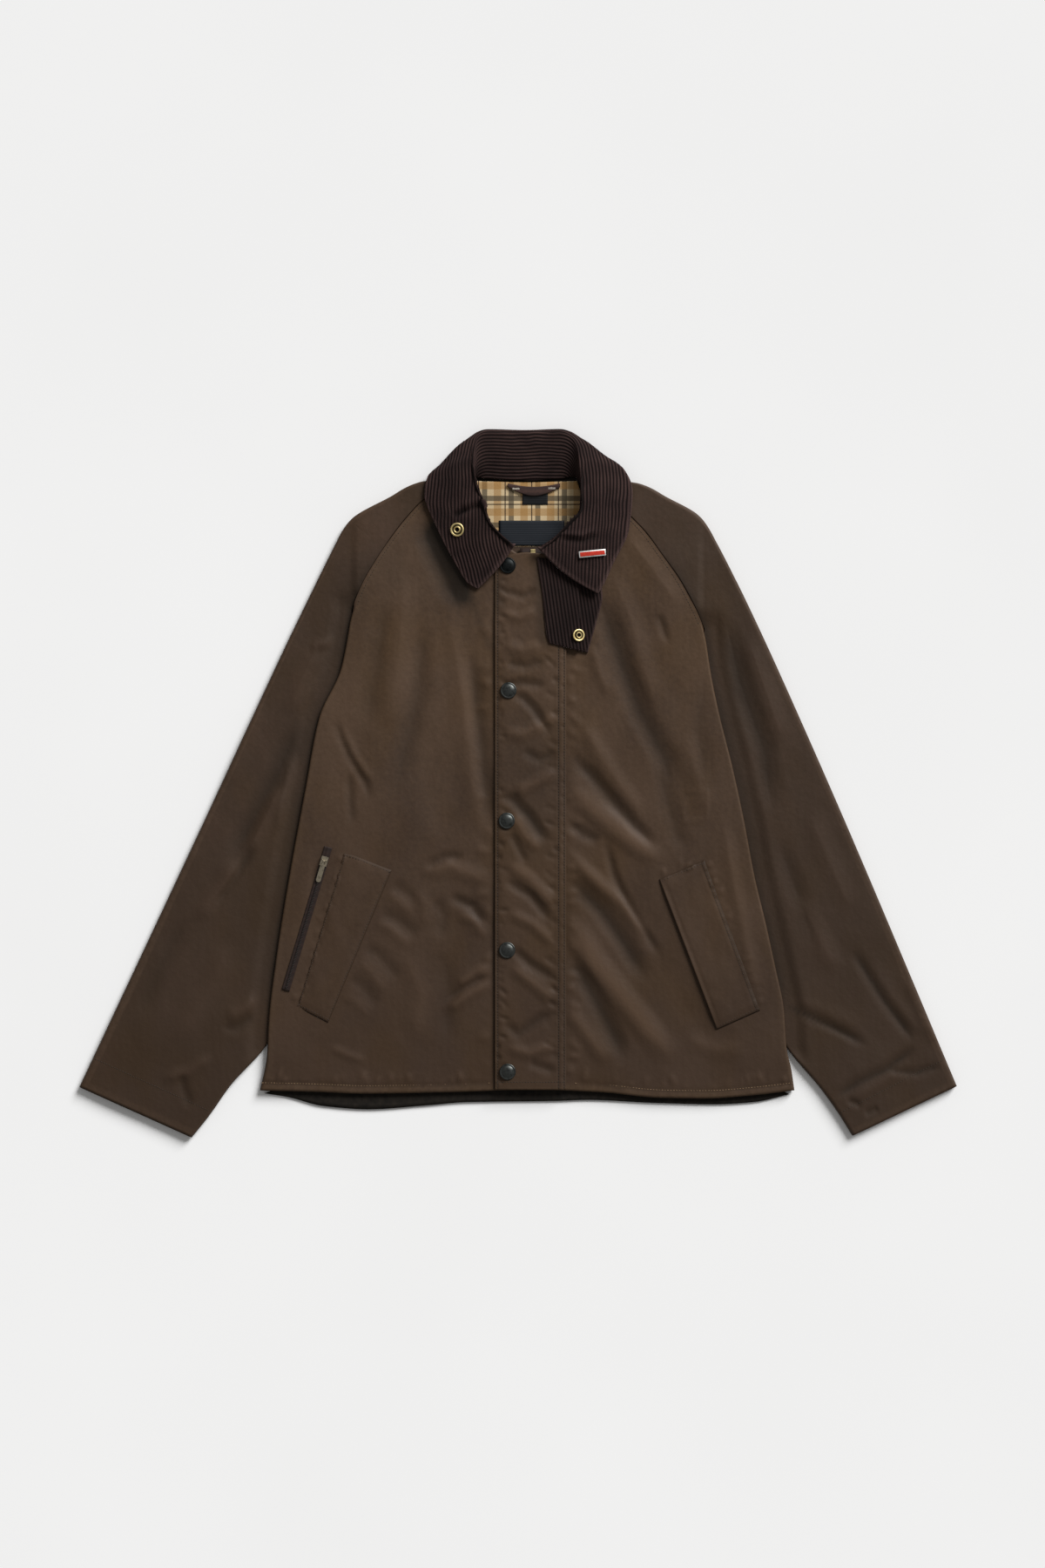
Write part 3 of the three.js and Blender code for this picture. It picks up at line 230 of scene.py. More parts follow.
def puckers(line: Sequence[Pair], side: float, spacing: float, reach: float,
            rise: float, width: float, seed: int, lean: float = 0.0) -> list[Crease]:
    """Makes the short gathers that a line of stitches draws into the cloth beside it.

    Args:
        line: the line's points.
        side: +1 for gathers to the left of the way along the line, -1 for the right.
        spacing, reach, rise, width: mean spacing, length, height and half width.
        seed: the fixed seed.
        lean: how far along the line each gather leans, as a share of its length.

    Returns:
        One crease for each gather.
    """
    rng = np.random.default_rng(seed)
    path = np.array(line, dtype=float)
    before = distances(path)
    steps = np.diff(before)
    found = []
    s = spacing * rng.uniform(0.3, 0.9)
    while s < before[-1] - 3:
        i = int(np.searchsorted(before, s, side="right") - 1)
        way = (path[i + 1] - path[i]) / steps[i]
        start = path[i] + way * (s - before[i])
        across = np.array([-way[1], way[0]]) * side
        slant = way * (lean + rng.uniform(-0.5, 0.5))
        end = start + (across + slant) * reach * rng.uniform(0.35, 1.3)
        found.append(Crease((tuple(start - across * 1.5), tuple(end)), width * rng.uniform(0.8, 1.25),
                            rise * rng.uniform(0.15, 1.15), 0.45))
        s += spacing * rng.uniform(0.5, 1.7)
    return found


@dataclass
class Side:
    """One side of the cut: its edges and seams as rows of height y and distance out."""

    sign: int
    underarm: float
    fold_top: float
    neck_corner: float
    edge: Rows
    raglan: Rows
    armhole: Rows
    back_raglan: Rows
    sleeve_inner: Rows
    sleeve_outer: Rows
    stations: Rows
    step: float
    step_top: float
    hem_centre: Pair
    neckline: Rows
    hem_dip: Rows

    def __post_init__(self) -> None:
        """Turns the tables into functions."""
        self.edge_at, self.raglan_at = smooth(self.edge), smooth(self.raglan)
        self.armhole_at, self.back_raglan_at = smooth(self.armhole), smooth(self.back_raglan)
        self.inner_at, self.outer_at = smooth(self.sleeve_inner), smooth(self.sleeve_outer)
        self.neck_x = smooth([(t, x) for t, x, _ in self.neckline])
        self.neck_y = smooth([(t, y) for t, _, y in self.neckline])
        self.dip_at = smooth(self.hem_dip)

    def border(self, y: Number) -> Number:
        """Distance out to the front's side edge: its turned edge, then its armhole seam."""
        return np.where(np.asarray(y) < self.fold_top, self.edge_at(y), self.raglan_at(y))

    def turned_under(self, y: Number) -> Number:
        """How far in from the turned edge the cloth under it reaches.

        Args:
            y: the height on the front.

        Returns:
            The distance.
        """
        y = np.asarray(y, dtype=float)
        near = 14 * ease(1 - (y - self.underarm) / 45)
        end = np.where(y > self.underarm, self.armhole_at(y) - near, self.inner_at(np.maximum(y, -300)) - 14)
        return np.where(y > self.fold_top, 0.0, self.edge_at(y) - end)

    def side_seam(self, y: Number) -> Number:
        """Distance out to the side seam on the floor."""
        beside = self.inner_at(np.maximum(y, -300)) - mix(14, 0.4, ease((y - self.underarm + 22) / 20))
        return mix(self.edge_at(y) - 14, beside, ease((y + 335) / 40))


RIGHT = Side(
    sign=-1, underarm=-60, fold_top=200, neck_corner=341,
    edge=((-352, 296.5), (-331, 291.5), (-308, 287.5), (-274, 286), (-191, 276), (-104, 262), (-1, 243),
          (76, 228), (132, 203), (200, 190)),
    raglan=((200, 190), (214, 185), (232, 177), (252, 165.5), (277, 149), (309, 124), (328, 104), (341, 70)),
    armhole=((-60, 158), (60, 174), (200, 190)),
    back_raglan=((-60, 158), (60, 127), (215, 88), (300, 65), (355, 51.5)),
    sleeve_inner=((-405, 374), (-380, 354), (-346, 330), (-300, 289), (-60, 158)),
    sleeve_outer=((-347, 503), (-50, 363.5), (166, 263), (224, 235), (275, 210), (292, 201), (305, 190),
                  (328, 149), (346, 113), (350, 76)),
    stations=((-347, -405, -405), (-280, -346, -346), (-226, -300, -300), (-106, -183, -183), (21, -60, -60),
              (122, 45, 60), (200, 135, 150), (245, 196, 215), (282, 232, 262), (305, 268, 300),
              (328, 309, 330), (349.9, 340.5, 354)),
    step=188, step_top=290, hem_centre=(1.7, -350),
    neckline=((0, -70, 341), (0.25, -50, 326), (0.5, -41, 303),
              (0.75, -26, 283), (0.9, -8, 269), (1, 1.7, 262)),
    hem_dip=((0, 0), (0.22, 1.8), (0.4, 4), (0.75, 2.5), (1, 0)),
)
LEFT = Side(
    sign=1, underarm=-60, fold_top=178, neck_corner=338,
    edge=((-352, 317), (-326, 313), (-303, 307.5), (-256, 304), (-215, 295.7), (-157, 283), (-107, 271),
          (-41, 258.5), (17, 246), (83, 229.6), (125, 221), (178, 213)),
    raglan=((178, 213), (197.5, 204.5), (217, 194.6), (237, 183), (260.5, 166), (287, 146.5), (303, 131.5),
            (324, 109), (338, 86)),
    armhole=((-60, 170), (60, 190), (178, 213)),
    back_raglan=((-60, 170), (60, 140), (215, 102), (300, 80), (355, 66)),
    sleeve_inner=((-403, 383), (-377, 366.7), (-351.5, 348.5), (-303, 308.5), (-60, 170)),
    sleeve_outer=((-346, 503), (-50, 378), (116, 305), (173, 279), (232, 251), (277, 228), (298, 216),
                  (309, 206), (328.5, 171), (344, 140), (350, 94)),
    stations=((-346, -403, -403), (-283, -351.5, -351.5), (-230, -303, -303), (-112, -186, -186),
              (14, -60, -60), (112, 40, 56), (187, 122, 142), (236, 176, 206), (278, 216, 256),
              (306, 256, 296), (329, 302, 328), (349.9, 337.5, 354)),
    step=209, step_top=300, hem_centre=(32.3, -350),
    neckline=((0, 86, 338), (0.25, 76, 318), (0.5, 62, 296), (0.75, 46, 279), (0.9, 36, 266), (1, 32.3, 258)),
    hem_dip=((0, 0), (0.18, 6), (0.36, 9.6), (0.54, 9), (0.77, 3), (1, 0)),
)

BACK_HEM = ((-291, -355), (-265, -359), (-223, -369.6), (-172, -373.3), (-108, -369), (-58, -365),
            (42, -363.7), (79, -362.5), (158, -366), (224, -367.5), (270, -365), (311, -356))

# The creases of the two fronts: the line's points, half width and rise
FRONT_CREASES = creases(
    (((-107, 194), (-114, 100), (-131, 30), (-142, -22)), 17, -1.1),
    (((-93, 190), (-99, 110), (-112, 45)), 18, 0.5),
    (((-84, 226), (-68, 123), (-59, 49), (-49, -17), (-40, -73)), 15, 1.0),
    (((-56, 160), (-44, 60), (-35, -30), (-31, -60)), 12, -1.5),
    (((-212, 76), (-193, 32), (-175, 2), (-168, -22)), 6, -1.3),
    (((-206, 68), (-186, 28), (-166, 0)), 7, 0.9),
    (((-194, 16), (-190, -50)), 6, -0.9),
    (((-150, 215), (-163, 130), (-176, 60)), 17, -0.9),
    (((-128, 250), (-136, 150), (-148, 60)), 18, 0.9),
    (((-112, -104), (-80, -94), (-48, -106), (-30, -120)), 12, 1.4),
    (((-108, -98), (-84, -84), (-60, -84)), 8, -1.2),
    (((-80, -128), (-52, -140), (-38, -164)), 7, -1.6),
    (((-72, -146), (-48, -158), (-36, -180)), 9, 1.2),
    (((-98, -128), (-84, -152), (-92, -180)), 9, -0.7),
    (((-120, -120), (-106, -140), (-108, -165)), 9, 0.6),
    (((-86, -262), (-58, -242), (-29, -226)), 8, 1.3),
    (((-72, -232), (-50, -216), (-30, -206)), 7, 1.0),
    (((-84, -248), (-56, -230), (-30, -217)), 5, -0.9),
    (((-218, -300), (-196, -310), (-172, -318)), 6, 0.7),
    (((-146, -112), (-134, -120), (-112, -136)), 9, -0.7),
    (((-152, -124), (-140, -132), (-120, -150)), 8, 0.5),
    (((-160, -146), (-140, -154), (-112, -176)), 10, -0.9),
    (((-166, -158), (-150, -164), (-122, -188)), 8, 0.5),
    (((-178, -184), (-160, -196), (-134, -226)), 10, -0.8),
    (((-186, -202), (-172, -212), (-150, -240)), 8, 0.5),
    (((-196, -220), (-180, -230), (-158, -256)), 9, -0.7),
    (((-204, -240), (-188, -248), (-168, -268)), 8, 0.4),
    (((-112, 306), (-97, 264), (-80, 226), (-64, 200)), 15, -1.5),
    (((8, 250), (18, 206), (30, 160), (44, 140)), 13, -0.9),
    (((-130, -190), (-112, -240), (-118, -300)), 16, 0.8),
    (((-88, -190), (-78, -240), (-84, -300)), 14, -0.7),
    (((-236, -60), (-244, -140), (-258, -220)), 14, 0.6),
    (((84, 226), (106, 178), (122, 130), (140, 82), (167, 30), (178, -20)), 15, -2.0),
    (((104, 250), (128, 190), (144, 130), (162, 80)), 15, 1.2),
    (((70, 76), (92, 36), (118, -4), (144, -38)), 12, 1.3),
    (((84, 160), (92, 130), (104, 100)), 9, 1.0),
    (((54, 38), (82, 12), (114, -26), (162, -78)), 9, -2.0),
    (((54, 2), (86, -30), (124, -62), (168, -92)), 13, 2.7),
    (((54, -40), (76, -58), (96, -66)), 8, -1.5),
    (((98, -56), (110, -104), (124, -134), (152, -180), (168, -206)), 6, -1.5),
    (((54, -78), (82, -104), (120, -138), (154, -184)), 9, 1.9),
    (((54, -104), (96, -146), (124, -186), (149, -230)), 12, -2.3),
    (((54, -146), (86, -202), (124, -250), (182, -322)), 15, 2.9),
    (((54, -190), (84, -238), (112, -292), (124, -324)), 12, -2.3),
    (((54, -250), (78, -286), (104, -322)), 11, 1.5),
    (((160, 196), (172, 160)), 6, -0.9),
    (((190, 60), (204, 10), (218, -40)), 15, 0.8),
    (((232, -30), (246, -110), (262, -190), (276, -250)), 10, 0.9),
    (((186, -8), (216, -8), (216, -40), (190, -44), (188, -16)), 3.5, 0.25, 0.08),
    (((160, 20), (182, -60), (200, -80)), 12, -0.8),
    (((214, 130), (206, 60), (214, 0)), 13, -0.6),
    (((190, -290), (226, -304), (262, -300)), 14, 0.8),
    (((120, 290), (158, 240), (186, 200)), 12, 0.7),
)
# Where the collar and the tab keep the light off the cloth, as lines that only darken it
FRONT_SHADES = creases(
    (((-104, 310), (-84, 270), (-67, 238), (-58, 198)), 13, -4.0, 0.2),
    (((-112, 302), (-93, 264), (-75, 230), (-63, 188)), 22, -1.3, 0.2),
    (((-57, 218), (-43, 184), (-29, 144)), 6, -0.9, 0.2),
    (((-160, 300), (-140, 240), (-126, 180)), 44, -0.85, 0.2),
)
# Painted shade on the placket, as lines that only darken it: beside the tab's left edge, under the collar's
# leaf near the top, and broadly down its middle
PLACKET_SHADES = creases(
    (((24, 262), (24, 215), (27, 172), (32, 150)), 11, -1.6, 0.15),
    (((-26, 240), (-24, 205), (-20, 190)), 12, -0.9, 0.3),
    (((12, 110), (14, 0), (12, -110)), 46, -0.8, 0.2),
)
PLACKET_CREASES = creases(
    (((-10, 104), (6, 98), (18, 86), (38, 54)), 7, -1.5),
    (((-20, 112), (4, 116), (34, 112)), 7, -1.3),
    (((-6, -12), (20, 2), (46, 16)), 9, 1.6),
    (((-24, -12), (-6, -18), (12, -36), (36, -70)), 8, -1.8),
    (((-8, -34), (8, -60), (26, -78)), 8, 1.3),
    (((-14, -90), (12, -108), (44, -142)), 9, 1.6),
    (((-18, -108), (14, -128), (40, -160)), 7, -1.5),
    (((-14, -146), (16, -160), (44, -186)), 8, 1.3),
    (((-10, -186), (14, -206), (44, -226)), 7, -1.4),
    (((-12, -206), (14, -226), (44, -250)), 9, 1.3),
    (((-20, -270), (0, -286), (26, -268), (46, -262)), 8, -1.2),
    (((-16, -300), (12, -308), (46, -296)), 8, 1.2),
    (((2, 40), (24, 28), (46, 36)), 8, -1.0),
    (((-20, 60), (4, 56), (26, 66), (48, 84)), 9, 1.2),
    (((-18, 160), (6, 152), (28, 160)), 9, 1.2),
    (((-16, 140), (8, 134), (34, 142)), 7, -1.1),
    (((-20, 196), (2, 190), (22, 200)), 7, 1.1),
    (((-18, 222), (6, 214), (22, 224)), 6, -1.0),
    (((-10, -54), (10, -92)), 6, -0.9),
    (((10, -318), (44, -330)), 7, -0.9),
)
SLEEVE_CREASES = {
    -1: creases(
        (((-246, 82), (-272, 20), (-300, -34), (-334, -96)), 17, -1.8),
        (((-230, 160), (-248, 120), (-262, 76)), 15, 1.0),
        (((-272, -2), (-290, -40), (-312, -84)), 11, 1.6),
        (((-318, -84), (-342, -122), (-372, -158)), 13, 1.5),
        (((-300, -70), (-326, -110), (-352, -146)), 7, -1.2),
        (((-206, 166), (-216, 162), (-240, 156)), 8, 1.0),
        (((-296, -244), (-320, -262), (-336, -266)), 10, 1.3),
        (((-300, -262), (-322, -280), (-340, -278)), 8, -1.0),
        (((-374, -372), (-382, -352), (-388, -330)), 7, -1.0),
        (((-330, -180), (-356, -240), (-396, -300)), 18, 0.9),
        (((-380, -150), (-410, -210), (-438, -270)), 16, -0.8),
        (((-350, -310), (-378, -330), (-410, -338)), 9, 1.0),
        (((-250, 40), (-268, -10), (-276, -60)), 12, 0.9),
        (((-290, 96), (-316, 40), (-336, -6)), 14, 0.8),
    ),
    1: creases(
        (((236, 196), (254, 116), (282, 38), (292, -42)), 15, -1.9),
        (((262, 170), (282, 110), (306, 40)), 14, 1.0),
        (((381, -187), (419, -248), (457, -298)), 8, -1.1, 0.2),
        (((402, -208), (437, -256), (470, -292)), 12, 0.4),
        (((302, -252), (330, -264), (357, -277), (402, -300)), 7, -1.1, 0.2),
        (((312, -244), (360, -264), (398, -282)), 11, 0.4),
        (((360, -360), (392, -341), (420, -328), (458, -300)), 8, -1.1, 0.2),
        (((378, -364), (410, -345), (446, -322)), 11, 0.7),
        (((420, -328), (456, -331), (486, -322)), 6, -0.9, 0.2),
        (((376, -362), (394, -368)), 5, -0.9),
        (((396, -378), (414, -371)), 5, -0.8),
        (((316, -120), (344, -176), (370, -224)), 15, 0.9),
        (((296, -60), (322, -130), (342, -196)), 13, -0.9),
        (((332, -30), (356, -90), (384, -150)), 15, 0.8),
        (((444, -220), (462, -262), (480, -300)), 9, 0.9),
    ),
}
# Painted shade: narrow lines that only darken the cloth, where the left cuff is folded hard
CUFF_SHADES = creases(
    (((381, -187), (419, -248), (457, -298)), 3.5, -1.5, 0.2),
    (((302, -252), (330, -264), (357, -277), (402, -300)), 3.5, -1.4, 0.2),
    (((360, -360), (392, -341), (420, -328), (458, -300)), 3.5, -1.2, 0.2),
    (((420, -328), (456, -331), (486, -322)), 3.0, -1.0, 0.2),
)


class Finish:
    """Small steps that every finish is built from."""

    def __init__(self, name: str) -> None:
        """Starts a material with one shader.

        Args:
            name: the material's name.
        """
        self.material = bpy.data.materials.new(name)
        self.material.use_nodes = True
        self.tree = self.material.node_tree
        self.shader = self.tree.nodes["Principled BSDF"]

    def add(self, kind: str, settings: dict | None = None, links: dict | None = None) -> bpy.types.Node:
        """Adds a node with its settings and links.

        Args:
            kind: the node's type.
            settings: attribute names, or inputs as their name or number in a tuple, and their values.
            links: input names or numbers, and the output that each takes.

        Returns:
            The node.
        """
        node = self.tree.nodes.new(kind)
        for key, value in (settings or {}).items():
            if isinstance(key, tuple):
                node.inputs[key[0]].default_value = value
            else:
                setattr(node, key, value)
        for key, output in (links or {}).items():
            self.tree.links.new(output, node.inputs[key])
        return node

    def place(self) -> Socket:
        """The object's own coordinates."""
        return self.add("ShaderNodeTexCoord").outputs["Object"]

    def noise(self, size_mm: float, detail: float = 3, stretch: Triple = (1, 1, 1),
              turn: float = 0) -> Socket:
        """A cloudy pattern whose patches are about that size.

        Args:
            size_mm: patch size.
            detail: octaves of finer patches.
            stretch: how much longer the patches are along each axis.
            turn: turn of the pattern about Z, in degrees.

        Returns:
            The pattern's factor, from 0 to 1.
        """
        scale = tuple(1 / s for s in stretch)
        rotation = (0, 0, math.radians(turn))
        mapping = self.add("ShaderNodeMapping", {("Rotation",): rotation, ("Scale",): scale},
                           {"Vector": self.place()})
        pattern = self.add("ShaderNodeTexNoise", {("Scale",): 1000 / size_mm, ("Detail",): detail},
                           {"Vector": mapping.outputs[0]})
        return pattern.outputs["Fac"]

    def ramp(self, factor: Socket, stops: Sequence[tuple[float, str]]) -> Socket:
        """Colours a factor.

        Args:
            factor: the factor.
            stops: pairs of place and hex colour.

        Returns:
            The colour.
        """
        node = self.add("ShaderNodeValToRGB", links={"Fac": factor})
        elements = node.color_ramp.elements
        while len(elements) < len(stops):
            elements.new(0.5)
        for element, (at, colour) in zip(elements, stops):
            element.position = at
            element.color = linear(colour)
        return node.outputs["Color"]

    def math(self, operation: str, a: Value, b: Value = 0.5) -> Socket:
        """Does one sum.

        Args:
            operation: the Math node's operation.
            a, b: two numbers or sockets.

        Returns:
            The result.
        """
        node = self.add("ShaderNodeMath", {"operation": operation})
        for i, value in enumerate((a, b)):
            if isinstance(value, Socket):
                self.tree.links.new(value, node.inputs[i])
            else:
                node.inputs[i].default_value = value
        return node.outputs[0]

    def times(self, a: Value, b: Value) -> Socket:
        """The product of two numbers or sockets."""
        return self.math("MULTIPLY", a, b)

    def plus(self, a: Value, b: Value) -> Socket:
        """The sum of two numbers or sockets."""
        return self.math("ADD", a, b)

    def clamp(self, value: Socket) -> Socket:
        """A number held between 0 and 1."""
        return self.add("ShaderNodeClamp", links={"Value": value}).outputs[0]

    def wave(self, spacing_mm: float, bands: str = "X", distortion: float = 0.0) -> Socket:
        """Makes fine bands.

        Args:
            spacing_mm: their spacing.
            bands: the way across them: X, Y or DIAGONAL.
            distortion: how uneven they are.

        Returns:
            The pattern's factor, from 0 to 1.
        """
        # A wave's own scale gives 20 bands a unit
        settings = {"bands_direction": bands, ("Scale",): 1000 / spacing_mm / 20, ("Distortion",): distortion}
        return self.add("ShaderNodeTexWave", settings, {"Vector": self.place()}).outputs["Fac"]

    def blend(self, factor: Value, a: Colour, b: Colour, mode: str = "MIX") -> Socket:
        """Mixes two colours.

        Args:
            factor: the share of the second.
            a, b: hex colours or sockets.
            mode: the Mix node's way of blending.

        Returns:
            The colour.
        """
        node = self.add("ShaderNodeMix", {"data_type": "RGBA", "blend_type": mode})
        for key, value in ((0, factor), (6, a), (7, b)):
            if isinstance(value, Socket):
                self.tree.links.new(value, node.inputs[key])
            else:
                node.inputs[key].default_value = linear(value) if isinstance(value, str) else value
        return node.outputs[2]

    def bump(self, height: Socket, depth_mm: float, strength: float = 1.0,
             under: Socket | None = None) -> Socket:
        """Makes a bump.

        Args:
            height: its height, from 0 to 1.
            depth_mm: its depth.
            strength: its strength.
            under: the bump that it lies over, if there is one.

        Returns:
            The normal.
        """
        links = {"Height": height}
        if under is not None:
            links["Normal"] = under
        settings = {("Distance",): depth_mm * MM, ("Strength",): strength}
        return self.add("ShaderNodeBump", settings, links).outputs[0]

    def attribute(self, name: str) -> Socket:
        """A number kept on the mesh's points."""
        return self.add("ShaderNodeAttribute", {"attribute_name": name}).outputs["Fac"]

    def finish(self, colour: Socket, normal: Socket | None = None, roughness: Socket | None = None,
               **sockets: float) -> Material:
        """Links what varies to the shader and sets what is the same all over.

        Args:
            colour, normal, roughness: what varies.
            sockets: shader inputs with underscores for spaces, and their values.

        Returns:
            The material.
        """
        for key, value in sockets.items():
            self.shader.inputs[key.replace("_", " ")].default_value = value
        for key, value in (("Base Color", colour), ("Normal", normal), ("Roughness", roughness)):
            if value is not None:
                self.tree.links.new(value, self.shader.inputs[key])
        return self.material


@dataclass(frozen=True)
class WaxedCotton:
    """Tightly woven cotton soaked in dark wax: a mottled brown with a low sheen that breaks along creases."""

    name: str = "waxed_cotton"
    deep: str = "#38291e"
    mid: str = "#4a3829"
    pale: str = "#574333"
    worn_and_lit: str = "#64503a"
    # The colour of the painted shade in troughs; the shares of painted shade and painted highlight follow
    # below
    hollow_shade: str = "#20170e"
    olive: str = "#fbf5de"
    darker_below_m: float = 0.22
    darker_share: float = 0.78
    hollow_shade_share: float = 0.17
    crest_highlight_share: float = 0.12
    weave_mm: float = 1.3
    crack_mm: float = 26.0

    def build(self) -> Material:
        """Builds the finish: wax patches over cloth, with rubbed edges that carry a painted highlight,
        painted shade and highlight along the creases, fine cracks and weave.

        Returns:
            The material.
        """
        f = Finish(self.name)
        patches = f.noise(85, 4, (1, 1.6, 1), 12)
        grain = f.noise(5, 5)
        both = f.plus(f.times(patches, 0.72), f.times(grain, 0.28))
        colour = f.ramp(both, ((0.3, self.deep), (0.5, self.mid), (0.72, self.pale)))
        # The cloth is painted darker below 0.22 m, towards the hem: partly its own tone, partly painted shade
        # for the light falling off down the jacket
        height = f.add("ShaderNodeSeparateXYZ", links={"Vector": f.place()}).outputs["Y"]
        lower = f.clamp(f.times(f.math("SUBTRACT", self.darker_below_m, height), 1.9))
        colour = f.blend(f.times(lower, self.darker_share), colour, self.deep)
        # The dye shows more olive in some patches than in others
        olive = f.clamp(f.times(f.math("SUBTRACT", f.noise(75, 2, (1, 1.5, 1), 35), 0.46), 5))
        colour = f.blend(f.times(olive, 0.8), colour, self.olive, "MULTIPLY")
        # Painted shade and highlight: the fold numbers paint the cloth darker in troughs, shade lines and
        # seams, and paler on ridges
        fold = f.attribute("fold")
        hollow_shade = f.clamp(f.times(fold, -self.hollow_shade_share))
        crest_highlight = f.clamp(f.times(fold, self.crest_highlight_share))
        colour = f.blend(crest_highlight, f.blend(hollow_shade, colour, self.hollow_shade), self.pale)
        # Paler edges: partly rubbed cloth, partly a painted highlight along the turned edges
        colour = f.blend(f.times(f.attribute("wear_and_highlight"), f.times(grain, 0.5)), colour, self.worn_and_lit)
        # Yarns 0.5 mm apart are too fine to show, so the weave is drawn coarser
        weave = f.wave(self.weave_mm, distortion=1.5)
        wander = f.add("ShaderNodeTexNoise", {("Scale",): 60.0}, {"Vector": f.place()}).outputs["Color"]
        longer = f.add("ShaderNodeMapping", {("Scale",): (1, 0.55, 1)},
                       {"Vector": f.blend(0.02, f.place(), wander)})
        cells = {"feature": "DISTANCE_TO_EDGE", ("Scale",): 1000 / self.crack_mm}
        cracks = f.add("ShaderNodeTexVoronoi", cells, {"Vector": longer.outputs[0]}).outputs["Distance"]
        normal = f.bump(f.math("MINIMUM", cracks, 0.12), 1.2, 0.25)
        normal = f.bump(f.noise(14, 5, (1, 1.5, 1), 25), 1.1, 0.5, normal)
        normal = f.bump(grain, 0.35, 0.55, normal)
        normal = f.bump(weave, 0.08, 0.3, normal)
        rough = f.plus(f.times(f.noise(30, 4), 0.2), 0.53)
        return f.finish(colour, normal, rough, Specular_IOR_Level=0.22)


@dataclass(frozen=True)
class InsideCloth:
    """The unwaxed back of the same cloth, nearly black where the jacket opens."""

    name: str = "waxed_cotton_inside"

    def build(self) -> Material:
        """Builds the finish: a dull dark twill.

        Returns:
            The material.
        """
        f = Finish(self.name)
        colour = f.ramp(f.noise(6, 4), ((0.3, "#15120f"), (0.7, "#25201b")))
        twill = f.wave(1.6, "DIAGONAL")
        return f.finish(colour, f.bump(twill, 0.12, 0.5), Roughness=0.9, Specular_IOR_Level=0.2)


@dataclass(frozen=True)
class CorduroyPile:
    """Cotton corduroy: rounded wales of cut pile with the bare ground between them."""

    name: str = "corduroy"
    ground: str = "#110c0b"
    pile: str = "#281d1c"
    tip: str = "#40302d"

    def build(self) -> Material:
        """Builds the finish from the mesh's own count of wales.

        Returns:
            The material.
        """
        f = Finish(self.name)
        turns = f.times(f.attribute("wale"), math.pi)
        rib = f.math("ABSOLUTE", f.math("COSINE", turns), 0)
        fuzz = f.noise(1.6, 3)
        blotch = f.noise(22, 3)
        body = f.ramp(f.times(rib, f.plus(f.times(blotch, 0.95), 0.4)),
                      ((0.12, self.ground), (0.6, self.pile), (1.0, self.tip)))
        # Painted shade: the pile is painted towards the ground colour in the creases' troughs
        shade = f.clamp(f.times(f.attribute("fold"), -0.3))
        body = f.blend(shade, body, self.ground)
        # Paler edges: partly rubbed pile, partly a painted highlight
        colour = f.blend(f.times(f.attribute("wear_and_highlight"), f.times(fuzz, 0.6)), body, "#6a5450")
        normal = f.bump(fuzz, 0.5, 0.6, f.bump(rib, 0.5, 0.7))
        return f.finish(colour, normal, Roughness=0.95, Specular_IOR_Level=0.12, Sheen_Weight=0.1,
                        Sheen_Roughness=0.45, Sheen_Tint=linear("#8a7470"))


@dataclass(frozen=True)
class CheckedLining:
    """Plain-woven cotton in a window check of cream, tan and olive-brown."""

    name: str = "check_lining"
    repeat_mm: float = 31.0

    def stripe(self, f: Finish, axis: str, start: float, width: float) -> Socket:
        """Makes a band across the cloth.

        Args:
            f: the finish.
            axis: X or Y.
            start, width: place and width in the repeat.

        Returns:
            1 on the band and 0 beside it.
        """
        at = f.add("ShaderNodeSeparateXYZ", links={"Vector": f.place()}).outputs[axis]
        phase = f.math("WRAP", f.math("SUBTRACT", f.times(at, 1000), start), self.repeat_mm)
        return f.math("LESS_THAN", phase, width)

    def build(self) -> Material:
        """Builds the finish: bands both ways, darker where they cross.

        Returns:
            The material.
        """
        f = Finish(self.name)
        colour = "#d6bf98"
        for axis in "XY":
            colour = f.blend(f.times(self.stripe(f, axis, 2, 9), 0.6), colour, "#a5793f")
            colour = f.blend(f.times(self.stripe(f, axis, 19, 6.5), 0.8), colour, "#524a3c")
        for axis in "XY":
            colour = f.blend(f.times(self.stripe(f, axis, 14.5, 1.7), 0.95), colour, "#2a1d17")
        yarn = f.noise(1.2, 2)
        colour = f.blend(f.times(yarn, 0.3), colour, "#6d5a40", "MULTIPLY")
        return f.finish(colour, f.bump(yarn, 0.2, 0.5), Roughness=0.9, Specular_IOR_Level=0.2)


@dataclass(frozen=True)
class WovenTape:
    """Narrow woven cloth, such as a label, a loop or the tape of a zip."""

    name: str
    colour: str
    light: str
    rough: float = 0.75
    rib_mm: float = 1.2

    def build(self) -> Material:
        """Builds the finish: fine ribs across and a little mottling.

        Returns:
            The material.
        """
        f = Finish(self.name)
        ribs = f.wave(self.rib_mm, "Y")
        colour = f.blend(f.times(f.noise(3, 3), f.plus(ribs, 0.3)), self.colour, self.light)
        return f.finish(colour, f.bump(ribs, 0.15, 0.5), Roughness=self.rough, Specular_IOR_Level=0.3)


